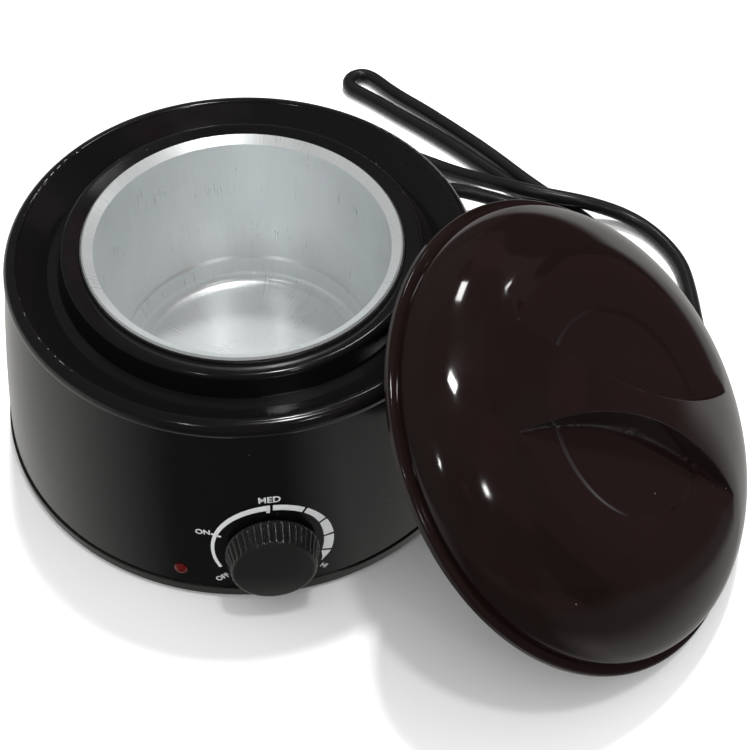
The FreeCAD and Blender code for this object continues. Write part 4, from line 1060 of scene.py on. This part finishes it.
def panel(name, azimuth, elevation, distance, size, power, seen=True):
    """A soft panel in a direction from the warmer, facing it, in metres and watts."""
    data = bpy.data.lights.new(name, "AREA")
    data.shape = "RECTANGLE"
    data.size, data.size_y = size
    data.energy = power
    light = show(bpy.data.objects.new(name, data))
    a = math.radians(azimuth)
    e = math.radians(elevation)
    away = Vector((math.cos(a) * math.cos(e), math.sin(a) * math.cos(e), math.sin(e)))
    light.location = AIM + away * distance
    light.rotation_mode = "QUATERNION"
    light.rotation_quaternion = away.to_track_quat("Z", "Y")
    light.visible_glossy = seen


panel("fill_overhead", -60, 80, 2.0, (3.0, 3.0), 22.0, seen=False)
panel("lamp_behind", 78, 67, 1.8, (0.16, 0.16), 30.0, seen=False)
panel("ceiling_lamp", -47, 81, 1.6, (0.11, 0.19), 5.0)
panel("window_soft", 65, 60, 1.8, (0.14, 0.26), 2.4)
panel("front_left_strip", -126, 48, 1.6, (0.06, 0.09), 0.7)
panel("front_right_strip", -67, 47, 1.6, (0.06, 0.09), 0.7)
panel("right_lamp", 32, 45, 1.7, (0.05, 0.10), 0.3)

# %% [markdown]
# The world is an even pale studio, which gives soft light from all round and a plain backdrop. What
# the gloss mirrors is another matter: a glossy ray meets a dim room instead, painted in the same
# shader. Above the horizon the room holds blocks of brown and grey-green, as furniture and curtains
# would be, because a glossy lid with nothing to mirror looks dead. Below it a grey glow is worked out
# from the ray's direction, in ranges of its x (to the right), y (to the back) and z (up).

# %% The dim room that gloss mirrors
BLOCK_SCALE = 2.3
BROWN = (0.058, 0.030, 0.032)
GREY_GREEN = (0.040, 0.046, 0.040)
LEFT_WALL = (0.105, 0.117, 0.105)
BLACK = (0.0, 0.0, 0.0)
GLOW_WHITE = (1.0, 0.99, 0.96)
STUDIO = (0.60, 0.60, 0.60)
BACKDROP = (0.93, 0.93, 0.93)


def above_horizon(room, direction, x):
    """Blocks of furniture, which give way to a plain wall on the left."""
    blocks = add(room, "ShaderNodeTexVoronoi", distance="CHEBYCHEV")
    blocks.inputs["Scale"].default_value = BLOCK_SCALE
    join(room, direction, blocks.inputs["Vector"])
    drawn = add(room, "ShaderNodeSeparateColor")
    join(room, blocks.outputs["Color"], drawn.inputs["Color"])
    furnished = add(room, "ShaderNodeVectorMath", operation="SCALE")
    join(room, blend_colours(room, drawn.outputs["Red"], BROWN, GREY_GREEN), furnished.inputs[0])
    join(room, ranged(room, drawn.outputs["Green"], 0.1, 0.9, 0.35, 2.6), furnished.inputs["Scale"])
    leftness = ranged(room, x, -1.0, 0.4, 1.0, 0.0)
    return blend_colours(room, leftness, furnished.outputs[0], LEFT_WALL)


def below_horizon(room, x, y, z):
    """The room's floor: dark in front, and glowing to the left, to the right and underfoot."""
    back_left = arithmetic(room, "SUBTRACT", arithmetic(room, "MULTIPLY", y, 0.6),
                           arithmetic(room, "MULTIPLY", x, 0.8))
    left_glow = ranged(room, back_left, 0.04, 0.65, 0.05, 0.62)
    foot_glow = ranged(room, z, -0.74, -0.98, 0.05, 0.40)
    near_glow = ranged(room, z, -0.25, -0.52, 0.14, 0.42)
    back_glow = ranged(room, y, 0.12, 0.27, 0.0, 0.62)
    rightness = ranged(room, x, 0.1, 0.45)
    right_glow = arithmetic(room, "MULTIPLY", rightness, arithmetic(room, "MAXIMUM", near_glow, back_glow))
    glow = arithmetic(room, "MAXIMUM", arithmetic(room, "MAXIMUM", left_glow, right_glow), foot_glow)
    return blend_colours(room, glow, BLACK, GLOW_WHITE)


world = bpy.data.worlds.new("dim_room")
world.use_nodes = True
room = world.node_tree
direction = add(room, "ShaderNodeTexCoord").outputs["Generated"]
split = add(room, "ShaderNodeSeparateXYZ")
join(room, direction, split.inputs[0])
x, y, z = split.outputs
horizon = ranged(room, z, 0.06, -0.06)
view = blend_colours(room, horizon, above_horizon(room, direction, x), below_horizon(room, x, y, z))
mirrored = room.nodes["Background"]
join(room, view, mirrored.inputs["Color"])
print("the dim room's shader has", len(room.nodes), "nodes so far")

# %% The pale studio for all other rays
ray = add(room, "ShaderNodeLightPath")
studio = add(room, "ShaderNodeBackground")
pale = blend_colours(room, ray.outputs["Is Camera Ray"], STUDIO, BACKDROP)
join(room, pale, studio.inputs["Color"])
either = add(room, "ShaderNodeMixShader")
join(room, ray.outputs["Is Glossy Ray"], either.inputs[0])
join(room, studio.outputs[0], either.inputs[1])
join(room, mirrored.outputs[0], either.inputs[2])
join(room, either.outputs[0], room.nodes["World Output"].inputs["Surface"])
world.cycles.sampling_method = "NONE"
bpy.context.scene.world = world
bpy.context.scene.view_settings.view_transform = "Standard"
print("the whole world's shader has", len(room.nodes), "nodes")
